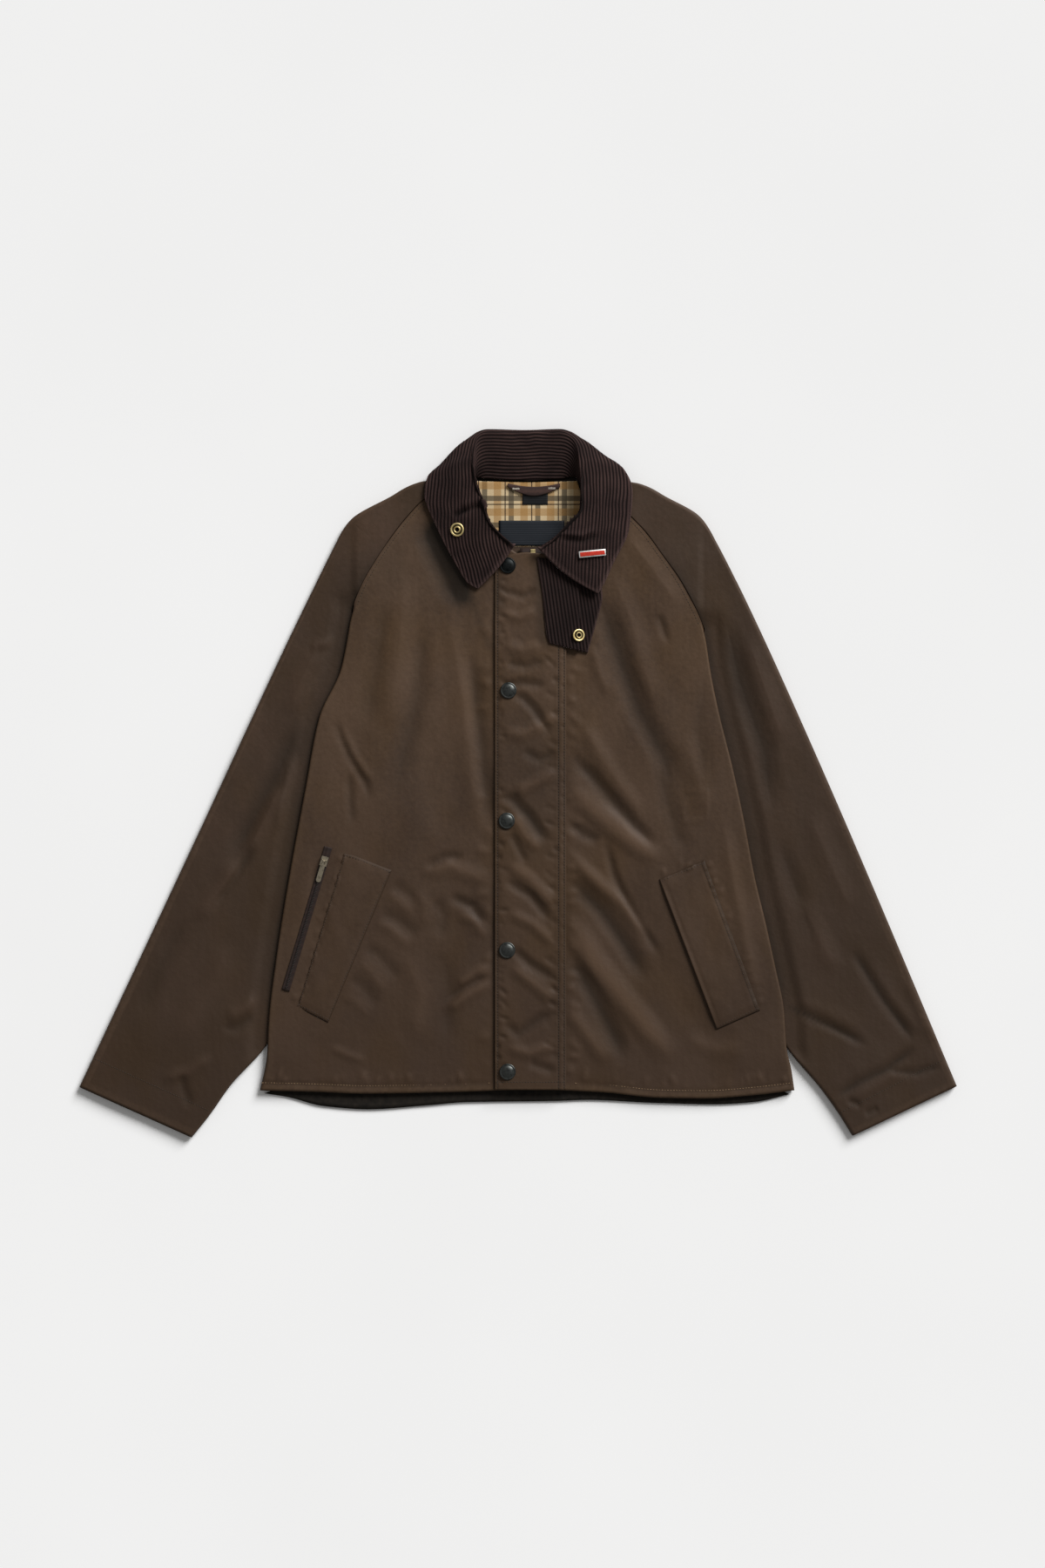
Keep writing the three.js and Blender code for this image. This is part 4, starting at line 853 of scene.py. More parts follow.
@dataclass(frozen=True)
class TurnedMetal:
    """Pressed or die-cast metal with a plated face, dulled a little by handling."""

    name: str
    colour: str
    dull: str
    rough: float

    def build(self) -> Material:
        """Builds the finish: plating with darker, rougher patches and hairline marks.

        Returns:
            The material.
        """
        f = Finish(self.name)
        spots = f.noise(3.5, 4)
        colour = f.ramp(spots, ((0.3, self.dull), (0.5, self.colour)))
        # Plating darkens where polish doesn't reach
        colour = f.blend(f.attribute("groove"), colour, "#2a1d08")
        rough = f.plus(f.times(spots, 0.16), self.rough - 0.08)
        return f.finish(colour, f.bump(f.noise(0.8, 2), 0.02, 0.15), rough, Metallic=1.0)


@dataclass(frozen=True)
class PlainFinish:
    """Enamel, thread or nylon: one fired or dyed colour with slight clouding."""

    name: str
    colour: str
    shade: str
    rough: float
    coat: float = 0.0

    def build(self) -> Material:
        """Builds the finish: two close tones and a fine bump.

        Returns:
            The material.
        """
        f = Finish(self.name)
        colour = f.ramp(f.noise(2.5, 3), ((0.35, self.shade), (0.65, self.colour)))
        normal = f.bump(f.noise(0.6, 2), 0.04, 0.3)
        return f.finish(colour, normal, Roughness=self.rough, Coat_Weight=self.coat)


@dataclass(frozen=True)
class Backdrop:
    """A matt pale paper sheet."""

    name: str = "studio_paper"

    def build(self) -> Material:
        """Builds the finish: paper with hardly any tone.

        Returns:
            The material.
        """
        f = Finish(self.name)
        return f.finish(f.ramp(f.noise(400, 2), ((0.3, "#f5f5f5"), (0.7, "#f7f7f7"))), Roughness=1.0,
                        Specular_IOR_Level=0.0)


class Slot(Enum):
    """The record's material slots; the pieces are passed one but don't use it."""

    WAXED = "waxed_cotton"
    CORD = "corduroy"
    LINING = "lining"
    LABEL = "label"
    ZIP_METAL = "zip_metal"
    SNAP = "snap_metal"
    STUD = "stud_metal"
    TAPE = "zip_tape"
    ENAMEL = "enamel"


class Workshop:
    """Turns grids and outlines into pieces on their bodies."""

    def __init__(self) -> None:
        """Builds every finish once."""
        self.waxed = WaxedCotton().build()
        # A copy of the cloth for the sleeves: redder as their own tone, and darker as painted shade
        sleeve = WaxedCotton("waxed_cotton_sleeve", "#35271c", "#3c2d21", "#473529", "#544132")
        self.waxed_sleeve = sleeve.build()
        self.inside = InsideCloth().build()
        self.facing = WovenTape("facing_cloth", "#33261b", "#463527", 0.8).build()
        self.cord = CorduroyPile().build()
        # A darker copy of the corduroy for the throat tab: painted shade, as the tab lies in the collar's
        # shadow
        self.shaded_cord = CorduroyPile("corduroy_painted_shade", "#130e0d", "#201716", "#2f2321").build()
        self.lining = CheckedLining().build()
        self.label = WovenTape("satin_label", "#15191f", "#1b2027", 0.5, 0.4).build()
        self.satin = WovenTape("black_satin", "#0d0e10", "#17181b", 0.4, 0.4).build()
        self.loop = WovenTape("grosgrain_loop", "#2a1b18", "#473029").build()
        self.tape = WovenTape("zip_tape", "#1d120e", "#291a15").build()
        self.thread = PlainFinish("cotton_thread", "#35281c", "#271d14", 0.7).build()
        self.pale_thread = PlainFinish("faded_thread", "#8a6e50", "#6c553d", 0.7).build()
        self.tack = PlainFinish("white_thread", "#d9d2c4", "#b8b0a2", 0.7).build()
        self.coil = PlainFinish("nylon_coil", "#1f130e", "#180e0a", 0.85).build()
        self.gunmetal = TurnedMetal("gunmetal_plate", "#4c4e4c", "#373938", 0.42).build()
        # A darker copy of the plating: painted shade for the top snap, which lies in the collar's shadow
        self.shaded_gunmetal = TurnedMetal("gunmetal_plate_painted_shade", "#242626", "#191b1b", 0.5).build()
        self.brass = TurnedMetal("polished_brass", "#f4e0a4", "#e8cc84", 0.5).build()
        self.nickel = TurnedMetal("antique_nickel", "#b9ae98", "#857a66", 0.34).build()
        self.enamel = PlainFinish("fired_enamel", "#c8321f", "#b32a19", 0.25, 0.5).build()
        self.rim = TurnedMetal("polished_nickel", "#f0eeea", "#d6d4cf", 0.5).build()

    def piece(self, mesh: Mesh, name: str, body: str, slot: Slot,
              replaces: Sequence[str] = ()) -> Object:
        """Puts a mesh in the scene as a piece.

        Args:
            mesh: the mesh, in metres, in place.
            name: the piece's name.
            body: the body that it rides on.
            slot: the record's slot for its finish; not used.
            replaces: the nodes that it stands for.

        Returns:
            The object.
        """
        piece = bpy.data.objects.new(name, mesh)
        bpy.context.scene.collection.objects.link(piece)
        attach(piece, body)
        if replaces:
            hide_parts(*replaces)
        LOG.info("%s: %d faces", name, len(mesh.polygons))
        return piece

    def shell(self, grid: Array, thickness: float, name: str, finishes: Sequence[Material],
              attributes: dict[str, Array] | None = None) -> Mesh:
        """Makes a closed cloth wall from the points of its outer face.

        Args:
            grid: rows by columns by 3; from outside, rows run up and columns to the right.
            thickness: the wall.
            name: the mesh's name.
            finishes: the outer face's finish and, if it differs, the inner one's.
            attributes: numbers for the grid's points, by name.

        Returns:
            The mesh, in metres.
        """
        rows, columns = grid.shape[:2]
        up = np.gradient(grid, axis=0)
        right = np.gradient(grid, axis=1)
        normal = np.cross(right, up)
        normal /= np.maximum(np.linalg.norm(normal, axis=2, keepdims=True), 1e-9)
        inner = grid - normal * thickness
        # Nothing reaches under the floor
        grid = grid.copy()
        grid[..., 2], inner[..., 2] = np.maximum(grid[..., 2], 0), np.maximum(inner[..., 2], 0)
        points = np.concatenate([grid.reshape(-1, 3), inner.reshape(-1, 3)]) * MM
        count = rows * columns
        ids = np.arange(count).reshape(rows, columns)
        a, b, c, d = ids[:-1, :-1], ids[:-1, 1:], ids[1:, 1:], ids[1:, :-1]
        outer = np.stack([a, b, c, d], axis=-1).reshape(-1, 4)
        inner_faces = np.stack([a, d, c, b], axis=-1).reshape(-1, 4) + count
        rims = []
        for first, second in ((ids[0, :-1], ids[0, 1:]), (ids[-1, 1:], ids[-1, :-1]),
                              (ids[1:, 0], ids[:-1, 0]), (ids[:-1, -1], ids[1:, -1])):
            rims.append(np.stack([first, first + count, second + count, second], axis=-1))
        rim = np.concatenate(rims)
        faces = np.concatenate([outer, inner_faces, rim])
        mesh = bpy.data.meshes.new(name)
        mesh.vertices.add(len(points))
        mesh.vertices.foreach_set("co", points.ravel())
        mesh.loops.add(faces.size)
        mesh.loops.foreach_set("vertex_index", faces.ravel())
        mesh.polygons.add(len(faces))
        mesh.polygons.foreach_set("loop_start", np.arange(0, faces.size, 4))
        for finish in finishes:
            mesh.materials.append(finish)
        index = np.zeros(len(faces), dtype=np.int32)
        index[len(outer):len(outer) + len(inner_faces)] = len(finishes) - 1
        mesh.polygons.foreach_set("material_index", index)
        mesh.update(calc_edges=True)
        mesh.polygons.foreach_set("use_smooth", np.ones(len(faces), dtype=bool))
        steps_u = np.linalg.norm(np.diff(grid, axis=1, prepend=grid[:, :1]), axis=2).cumsum(axis=1)
        steps_v = np.linalg.norm(np.diff(grid, axis=0, prepend=grid[:1]), axis=2).cumsum(axis=0)
        uv = np.stack([steps_u, steps_v], axis=-1).reshape(-1, 2) * 0.01
        layer = mesh.uv_layers.new(name="cut")
        layer.data.foreach_set("uv", np.concatenate([uv, uv])[faces.ravel()].ravel())
        for key, values in (attributes or {}).items():
            kept = mesh.attributes.new(key, "FLOAT", "POINT")
            flat = np.asarray(values, dtype=np.float32).ravel()
            kept.data.foreach_set("value", np.concatenate([flat, flat]))
        mesh.validate()
        return mesh

    def lathe(self, profile: Sequence[Pair], sides: int, name: str) -> Mesh:
        """Turns a profile about Z.

        Args:
            profile: rows of radius and height; a closed ring repeats its first row.
            sides: faces round the turn.
            name: the mesh's name.

        Returns:
            The mesh.
        """
        bm = bmesh.new()
        points = [bm.verts.new((r, 0, z)) for r, z in profile]
        edges = [bm.edges.new(pair) for pair in zip(points, points[1:])]
        bmesh.ops.spin(bm, geom=points + edges, cent=(0, 0, 0), axis=(0, 0, 1), angle=2 * math.pi,
                       steps=sides, use_duplicate=False, use_merge=True)
        bmesh.ops.remove_doubles(bm, verts=bm.verts, dist=1e-4)
        bmesh.ops.recalc_face_normals(bm, faces=bm.faces)
        return self.rounded(bm, name)

    @staticmethod
    def rounded(bm: bmesh.types.BMesh, name: str) -> Mesh:
        """Turns a bmesh into a smooth mesh.

        Args:
            bm: the bmesh, which is freed.
            name: the mesh's name.

        Returns:
            The mesh.
        """
        mesh = bpy.data.meshes.new(name)
        bm.to_mesh(mesh)
        bm.free()
        mesh.polygons.foreach_set("use_smooth", np.ones(len(mesh.polygons), dtype=bool))
        return mesh

    def block(self, size: Triple, round_by: float, name: str, low: float = 0.0) -> Mesh:
        """Makes a bar with rounded edges that stands on a height.

        Args:
            size: its size along X, Y and Z.
            round_by: the radius of its edges.
            name: the mesh's name.
            low: the height of its underside.

        Returns:
            The mesh.
        """
        bm = bmesh.new()
        bmesh.ops.create_cube(bm, size=1)
        bmesh.ops.scale(bm, vec=size, verts=bm.verts)
        bmesh.ops.translate(bm, vec=(0, 0, low + size[2] / 2), verts=bm.verts)
        bmesh.ops.bevel(bm, geom=list(bm.edges), offset=round_by, segments=3, profile=0.5, affect="EDGES")
        return self.rounded(bm, name)

    def sewn(self, grid: Array, thick: float, name: str, node: str, slot: Slot,
             finishes: Sequence[Material], seams: dict | None = None) -> Object:
        """Makes a sewn piece of the jacket from its grid and puts it in the scene.

        Args:
            grid, thick, finishes, seams: the shell's.
            name, slot: the piece's.
            node: the node that it stands for.

        Returns:
            The piece.
        """
        return self.piece(self.shell(grid, thick, name, finishes, seams), name, "jacket", slot, [node])

    def bevelled(self, node: str, width_mm: float, finish: Material, slot: Slot, body: str) -> Object:
        """Replaces a hard node by a copy with its edges broken, as casting leaves them.

        Args:
            node: the node.
            width_mm: the width of the bevel.
            finish, slot, body: its finish, its slot and the body that it rides on.

        Returns:
            The piece.
        """
        bm = bmesh.new()
        bm.from_mesh(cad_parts[node].data)
        bmesh.ops.remove_doubles(bm, verts=bm.verts, dist=2e-6)
        bmesh.ops.dissolve_limit(bm, angle_limit=math.radians(2), verts=bm.verts, edges=bm.edges)
        sharp = [e for e in bm.edges if len(e.link_faces) == 2 and e.calc_face_angle(0) > math.radians(50)]
        bmesh.ops.bevel(bm, geom=sharp, offset=width_mm * MM, segments=2, profile=0.5, affect="EDGES",
                        clamp_overlap=True)
        bmesh.ops.triangulate(bm, faces=[f for f in bm.faces if len(f.verts) > 4])
        mesh = bpy.data.meshes.new(node + "_dressed")
        bm.to_mesh(mesh)
        bm.free()
        mesh.materials.append(finish)
        return self.piece(mesh, node + "_dressed", body, slot, [node])


def seated(mesh: Mesh, x: float, y: float, face: Height, lift: float, turn: float = 0.0) -> Mesh:
    """Moves a mesh onto a face, tilted with it, and turns it to metres.

    Args:
        mesh: the mesh, round the origin.
        x, y: its place.
        face: the face's height.
        lift: how far over the face it sits.
        turn: its turn about its own axis, in degrees.

    Returns:
        The same mesh.
    """
    reach = 5.0
    at = lambda dx, dy: float(face(np.array([x + dx]), np.array([y + dy]))[0])
    slope_x = (at(reach, 0) - at(-reach, 0)) / (2 * reach)
    slope_y = (at(0, reach) - at(0, -reach)) / (2 * reach)
    up = np.array([-slope_x, -slope_y, 1.0])
    up /= np.linalg.norm(up)
    side = np.cross([0, 1, 0], up)
    side /= np.linalg.norm(side)
    axes = np.stack([side, np.cross(up, side), up], axis=1)
    c, s = math.cos(math.radians(turn)), math.sin(math.radians(turn))
    spin = np.array([[c, -s, 0], [s, c, 0], [0, 0, 1]])
    points = np.empty(len(mesh.vertices) * 3)
    mesh.vertices.foreach_get("co", points)
    moved = (points.reshape(-1, 3) @ (axes @ spin).T) + np.array([x, y, at(0, 0)]) + up * lift
    mesh.vertices.foreach_set("co", (moved * MM).ravel())
    mesh.update()
    return mesh


def rest_on(face: Height, reach: float) -> Height:
    """Finds how high a piece has to lie to clear a face.

    Args:
        face: the face's height.
        reach: how far round each place it has to clear it.

    Returns:
        The piece's height.
    """
    ways = [(0, 0), (1, 0), (-1, 0), (0, 1), (0, -1), (0.7, 0.7), (-0.7, 0.7), (0.7, -0.7), (-0.7, -0.7)]

    def height(x: Array, y: Array) -> Array:
        """The highest of the near places."""
        return np.max([face(x + dx * reach, y + dy * reach) for dx, dy in ways], axis=0)

    return height


class Unit(Enum):
    """What a run repeats: a rounded stitch or a squared tooth."""

    STITCH = "GeometryNodeMeshUVSphere"
    TOOTH = "GeometryNodeMeshCube"


class Run:
    """A Geometry Nodes tree that sets small parts along lines."""

    def __init__(self, unit: Unit) -> None:
        """Builds the tree.

        Args:
            unit: the kind of part.
        """
        self.unit = unit
        self.tree = bpy.data.node_groups.new(unit.name.lower() + "_run", "GeometryNodeTree")
        face = self.tree.interface
        face.new_socket("Lines", in_out="INPUT", socket_type="NodeSocketGeometry")
        for name in ("Pitch", "Length", "Width", "Height"):
            face.new_socket(name, in_out="INPUT", socket_type="NodeSocketFloat")
        face.new_socket("Finish", in_out="INPUT", socket_type="NodeSocketMaterial")
        face.new_socket("Parts", in_out="OUTPUT", socket_type="NodeSocketGeometry")
        start, end = self.add("NodeGroupInput"), self.add("NodeGroupOutput")
        lines = self.add("GeometryNodeMeshToCurve", links={"Mesh": start.outputs["Lines"]})
        places = self.add("GeometryNodeCurveToPoints", {"mode": "LENGTH"},
                          {"Curve": lines.outputs[0], "Length": start.outputs["Pitch"]})
        if unit is Unit.STITCH:
            part = self.add(unit.value, {("Segments",): 6, ("Rings",): 4, ("Radius",): 0.5})
        else:
            part = self.add(unit.value, {("Size",): (1, 1, 1)})
        given = start.outputs
        sizes = {"X": given["Length"], "Y": given["Width"], "Z": given["Height"]}
        size = self.add("ShaderNodeCombineXYZ", links=sizes).outputs[0]
        shaped = self.add("GeometryNodeTransform", links={"Geometry": part.outputs[0], "Scale": size})
        turn = self.add("FunctionNodeAlignRotationToVector", {"axis": "X"},
                        {"Vector": places.outputs["Tangent"]})
        # A Random Value node has a least and a most for each kind of number: 2 and 3 are the floats'
        spread = {"data_type": "FLOAT", (2,): 0.88, (3,): 1.1, ("Seed",): 7}
        uneven = self.add("FunctionNodeRandomValue", spread)
        value = next(s for s in uneven.outputs if s.type == "VALUE" and s.enabled)
        put = self.add("GeometryNodeInstanceOnPoints", links={
            "Points": places.outputs["Points"], "Instance": shaped.outputs[0],
            "Rotation": turn.outputs[0], "Scale": value})
        real = self.add("GeometryNodeRealizeInstances", links={"Geometry": put.outputs[0]})
        done = self.add("GeometryNodeSetMaterial",
                        links={"Geometry": real.outputs[0], "Material": given["Finish"]})
        self.tree.links.new(done.outputs[0], end.inputs[0])

    def add(self, kind: str, settings: dict | None = None, links: dict | None = None) -> bpy.types.Node:
        """Adds a node with its settings and links, as a finish does."""
        return Finish.add(self, kind, settings, links)

    def make(self, name: str, lines: Sequence[Array], pitch: float, size: Triple,
             finish: Material) -> Mesh:
        """Sets the parts along lines.

        Args:
            name: the mesh's name.
            lines: arrays of points.
            pitch: the spacing.
            size: one part's length, width and height.
            finish: its finish.

        Returns:
            One mesh in metres.
        """
        points, edges = [], []
        for line in lines:
            edges += [(len(points) + i, len(points) + i + 1) for i in range(len(line) - 1)]
            points += [tuple(p) for p in np.asarray(line) * MM]
        host_mesh = bpy.data.meshes.new(name + "_lines")
        host_mesh.from_pydata(points, edges, [])
        host = bpy.data.objects.new(name + "_lines", host_mesh)
        bpy.context.scene.collection.objects.link(host)
        modifier = host.modifiers.new("run", "NODES")
        modifier.node_group = self.tree
        values = dict(zip(("Pitch", "Length", "Width", "Height"), (n * MM for n in (pitch, *size))))
        values["Finish"] = finish
        for item in self.tree.interface.items_tree:
            if item.in_out == "INPUT" and item.name in values:
                modifier[item.identifier] = values[item.name]
        evaluated = host.evaluated_get(bpy.context.evaluated_depsgraph_get())
        mesh = bpy.data.meshes.new_from_object(evaluated)
        mesh.name = name
        bpy.data.objects.remove(host)
        bpy.data.meshes.remove(host_mesh)
        mesh.polygons.foreach_set("use_smooth", np.full(len(mesh.polygons), self.unit is Unit.STITCH))
        return mesh


def line_on(face: Height, points: Sequence[Pair], lift: float, step: float = 4.0) -> Array:
    """Lays a line on a face.

    Args:
        face: the face's height.
        points: the line's corners.
        lift: how far over the face it runs.
        step: the spacing of the points that it is given.

    Returns:
        Points by 3.
    """
    path = np.array(points, dtype=float)
    lengths = distances(path)
    at = np.linspace(0, lengths[-1], max(2, int(lengths[-1] / step) + 1))
    x, y = np.interp(at, lengths, path[:, 0]), np.interp(at, lengths, path[:, 1])
    return np.stack([x, y, face(x, y) + lift], axis=1)


@dataclass
class Body:
    """The back, the two fronts, the placket and the zip between the fronts."""

    shop: Workshop
    columns: int = 104
    rows: int = 236
    placket: Triple = (-26.5, 55.0, -350.0)
    ripple: Ripple = field(
        default_factory=lambda: Ripple(11, ((95, 140, 0.55), (42, 66, 0.4), (19, 26, 0.22))))

    def __post_init__(self) -> None:
        """Gathers the creases of the fronts and of the placket."""
        left, right, _ = self.placket
        self.creases = list(FRONT_CREASES)
        self.creases += puckers([(left - 4, 240), (left - 4, -340)], -1, 27, 22, 0.7, 8, 3)
        self.creases += puckers([(right, 150), (right, -340)], 1, 15, 18, 0.7, 5.5, 4, 0.5)
        self.creases += puckers([(-200, -78), (-253, -254)], -1, 13, 9, 0.7, 4, 6)
        self.creases += puckers([(213, -86), (277, -258)], 1, 13, 12, 0.8, 4, 8)
        self.creases += puckers([(161, -108), (213, -86)], 1, 11, 12, 0.8, 4, 9)
        self.hem_lines = []
        for side in (RIGHT, LEFT):
            t = np.linspace(0.012, 1, 26)
            x = mix(side.sign * float(side.border(HEM_Y)), side.hem_centre[0], t)
            y = mix(HEM_Y, side.hem_centre[1], t) - side.dip_at(t) + 9
            shown = (x < left) | (x > right)
            self.hem_lines.append([tuple(p) for p in np.column_stack([x, y])[shown]])
            self.creases.append(Crease(tuple(self.hem_lines[-1]), 2.0, -1.0, 0.02))
            self.creases += puckers(self.hem_lines[-1], side.sign, 7, 9, 0.8, 2.4, 14 + side.sign)
            self.creases += puckers(self.hem_lines[-1], -side.sign, 13, 17, 0.8, 4, 17 + side.sign)
        self.placket_creases = list(PLACKET_CREASES)
        self.placket_creases += puckers([(left + 2, 245), (left + 2, -340)], 1, 11, 14, -0.8, 3.6, 10, 0.6)
        self.placket_creases += puckers([(46, 240), (46, -340)], -1, 13, 17, -0.7, 4.2, 12, -0.6)
        self.placket_creases += puckers([(49.7, 240), (49.7, -340)], 1, 12, 4, -0.4, 3, 13)

    def top(self, x: Array, y: Array) -> Array:
        """Finds the fronts' height with no creases: level, and raised where they lie on what is turned under.

        Args:
            x, y: places on the fronts.

        Returns:
            Heights.
        """
        heights = []
        for side in (RIGHT, LEFT):
            up = ease((y + 352) / 45) * (1 - 0.6 * ease((y - side.fold_top) / 120))
            inside = side.border(y) - np.abs(x) - side.turned_under(y)
            heights.append(BODY_TOP + EDGE_RISE * up * ease(1 - (inside - EDGE_REACH) / (2 * EDGE_REACH)))
        return np.where(x < 0, heights[0], heights[1])

    def face(self, x: Array, y: Array) -> Array:
        """Finds the fronts' height with their creases.

        Args:
            x, y: places on the fronts.

        Returns:
            Heights.
        """
        x, y = np.asarray(x, dtype=float), np.asarray(y, dtype=float)
        calm = ease((y + 350) / 16)
        lift = sum(crease.lift(x, y) for crease in self.creases)
        # Where creases meet they don't add up to more than the cloth's slack
        return self.top(x, y) + (3 * np.tanh(lift / 3) + self.ripple.lift(x, y)) * mix(0.25, 1.0, calm)

    def folded(self, grid: Array, creases: Sequence[Crease], floor: float) -> Array:
        """How far creases lift or sink each point of a grid, or 0 for points no higher than a floor."""
        lift = sum(crease.lift(grid[..., 0], grid[..., 1]) for crease in creases)
        return np.where(grid[..., 2] > floor, lift, 0)

    def placket_calm(self, x: Array, y: Array) -> Array:
        """The height of the placket with no creases."""
        return rest_on(self.top, 8)(x, y) + PLACKET_LIFT

    def placket_face(self, x: Array, y: Array) -> Array:
        """Finds the placket's height, which smooths what lies under it.

        Args:
            x, y: places on the placket.

        Returns:
            Heights.
        """
        base = self.placket_calm(x, y)
        edge = ease((x - self.placket[0]) / 10) * ease((self.placket[1] - x) / 5)
        lift = sum(crease.lift(x, y) for crease in self.placket_creases)
        creased = base + 2.4 * np.tanh(lift / 2.4) * mix(0.55, 1, edge)
        return creased + 0.6 * self.ripple.lift(x + 300, y) + 0.8 * (edge - 1)

    def turned_edge(self, side: Side, y: float) -> Array:
        """Shapes a front's turned edge at one height: an arc, a stretch back under and a slope to the seam.

        Args:
            side: the side.
            y: the height on the front.

        Returns:
            Points by 3.
        """
        arc_n, flat_n, slope_n = 9, 7, 9
        one = lambda f, x, at: float(f(np.array([x]), np.array([at]))[0])
        border = float(side.border(y))
        turn = 1 - float(ease((y - side.fold_top + 20) / 32))
        under = TUCKED_OVER * float(ease((y + 330) / 26))
        top = one(self.face, side.sign * border, y)
        radius = (top - under) / 2
        angle = math.pi * turn
        inset = mix(PLAIN_EDGE, radius, turn)
        start = border - inset
        start_top = one(self.face, side.sign * start, y)
        rolled = float(ease(turn * 3))
        k = np.linspace(0, 1, arc_n)
        out = mix(start + 0.6 * inset * k, start + radius * np.sin(angle * k), rolled)
        z = mix(np.full(arc_n, start_top), mix(start_top, top, k) - radius * (1 - np.cos(angle * k)), rolled)
        arc = np.stack([side.sign * out, np.full(arc_n, y), z], axis=1)
        last = arc[-1]
        last_out = abs(last[0])
        if turn < 1:
            step = mix(0.2 * PLAIN_EDGE, 0.8, rolled)
            ahead = lambda n: np.array([side.sign * (last_out + n * step * math.cos(angle * rolled)), y,
                                        last[2] - n * step * math.sin(angle * rolled)])
            brink, end = ahead(1), ahead(2)
        elif y > side.underarm - 4:
            reach = min(float(side.armhole_at(max(y, side.underarm))), last_out - 1.5)
            end = np.array([side.sign * reach, y, under])
            brink = (last + end) / 2
        else:
            seam = float(side.side_seam(y))
            end = np.array([side.sign * seam, y, under * float(ease((y - side.underarm + 40) / 22))])
            brink_out = min(last_out - 0.6, max(float(side.inner_at(y)) + 1, seam + 9))
            brink = np.array([side.sign * brink_out, y, under])
        flat = last + (brink - last) * (np.arange(1, flat_n + 1) / flat_n)[:, None]
        k = np.arange(1, slope_n + 1) / slope_n
        slope = brink + (end - brink) * k[:, None]
        if turn == 1:
            slope[:, 2] = mix(brink[2], end[2], ease(k * 1.3))
        return np.concatenate([arc, flat, slope])

    def front_grid(self, side: Side) -> tuple[Array, Array]:
        """One front, from the centre edge to the turned side edge.

        Args:
            side: the side.

        Returns:
            The grid, and how much each point is rubbed and painted paler.
        """
        neck_out = float(side.border(side.neck_corner))
        centre_x, centre_low = side.hem_centre
        centre_top = float(side.neck_y(1))
        rows, wear_and_highlight = [], []
        for side_y in np.linspace(HEM_Y, side.neck_corner, self.rows):
            v = (side_y - HEM_Y) / (side.neck_corner - HEM_Y)
            edge = self.turned_edge(side, side_y)
            side_out = float(side.border(side_y))
            brink = 1 - abs(edge[0, 0]) / side_out
            m = np.arange(self.columns)
            t = mix(brink, 1, (1 - m / self.columns) ** 1.12)
            straight_x = mix(side.sign * neck_out, centre_x, t)
            straight_y = mix(side.neck_corner, centre_top, t)
            x = mix(side.sign * side_out, centre_x, t) + v * (side.neck_x(t) - straight_x)
            straight = mix(side_y, mix(centre_low, centre_top, v), t)
            y = straight - (1 - v) ** 3 * side.dip_at(t) + v ** 2 * (side.neck_y(t) - straight_y)
            top = np.stack([x, y, self.face(x, y)], axis=1)
            row = np.concatenate([top, edge])
            rows.append(row)
            # The turned edge and the hem are painted paler: partly rubbed cloth, partly a painted highlight
            worn_and_lit = np.zeros(len(row))
            worn_and_lit[self.columns:self.columns + 6] = 0.35
            worn_and_lit[self.columns - 3:self.columns] = (0.05, 0.15, 0.25)
            wear_and_highlight.append(np.maximum(worn_and_lit, 0.7 * float(ease(1 - (side_y - HEM_Y) / 14))))
        grid, worn_and_lit = np.array(rows), np.array(wear_and_highlight)
        if side.sign < 0:
            grid, worn_and_lit = grid[:, ::-1], worn_and_lit[:, ::-1]
        return grid, worn_and_lit

    def back_grid(self) -> Array:
        """Makes the back, flat on the floor between the side seams and the sleeves.

        Returns:
            Rows by columns by 3.
        """
        hem_y = smooth(BACK_HEM)
        u = np.linspace(0, 1, 100)
        hem_x = mix(BACK_HEM[0][0], BACK_HEM[-1][0], u)
        rows = [np.stack([hem_x, hem_y(hem_x), np.full(u.shape, CLOTH)], axis=1)]
        for y in np.linspace(HEM_Y - 0.4, 354.5, 106):
            reach = [float(s.side_seam(y) if y < s.underarm else s.back_raglan_at(y)) - SEAM - 0.3
                     for s in (RIGHT, LEFT)]
            dip = 4 * np.sin(math.pi * u) * float(ease((y - 330) / 24.5))
            rows.append(np.stack([mix(-reach[0], reach[1], u), y - dip, np.full(u.shape, CLOTH)], axis=1))
        low, first = rows[0], rows[1]
        between = [mix(low, first, k) for k in (0.25, 0.5, 0.75)]
        return np.array([low, *between, *rows[1:]])

    def build(self) -> None:
        """Builds the pieces."""
        shop = self.shop
        piece = shop.sewn(self.back_grid(), CLOTH, "back_cloth", "back",
                          Slot.WAXED, (shop.inside, shop.waxed))
        for name, side, area in (("front_right", RIGHT, 0.19), ("front_left", LEFT, 0.174)):
            grid, worn_and_lit = self.front_grid(side)
            # The fold numbers paint shade and highlight into the cloth: darker in the creases' troughs and
            # under FRONT_SHADES' shadow lines, paler on ridges
            seams = {"wear_and_highlight": worn_and_lit, "fold": self.folded(grid, self.creases + FRONT_SHADES, FRONT_SHOWS)}
            piece = shop.sewn(grid, CLOTH, name + "_cloth", name,
                              Slot.WAXED, (shop.waxed, shop.inside), seams)
        left, right, hem = self.placket
        top_at = smooth(((0, 250), (0.2, 262), (0.45, 265), (0.7, 263), (1, 255)))
        u, v = np.meshgrid(np.linspace(0, 1, 66), np.linspace(0, 1, 300))
        x, y = mix(left, right, u), mix(hem, top_at(u), v)
        grid = np.stack([x, y, self.placket_face(x, y)], axis=-1)
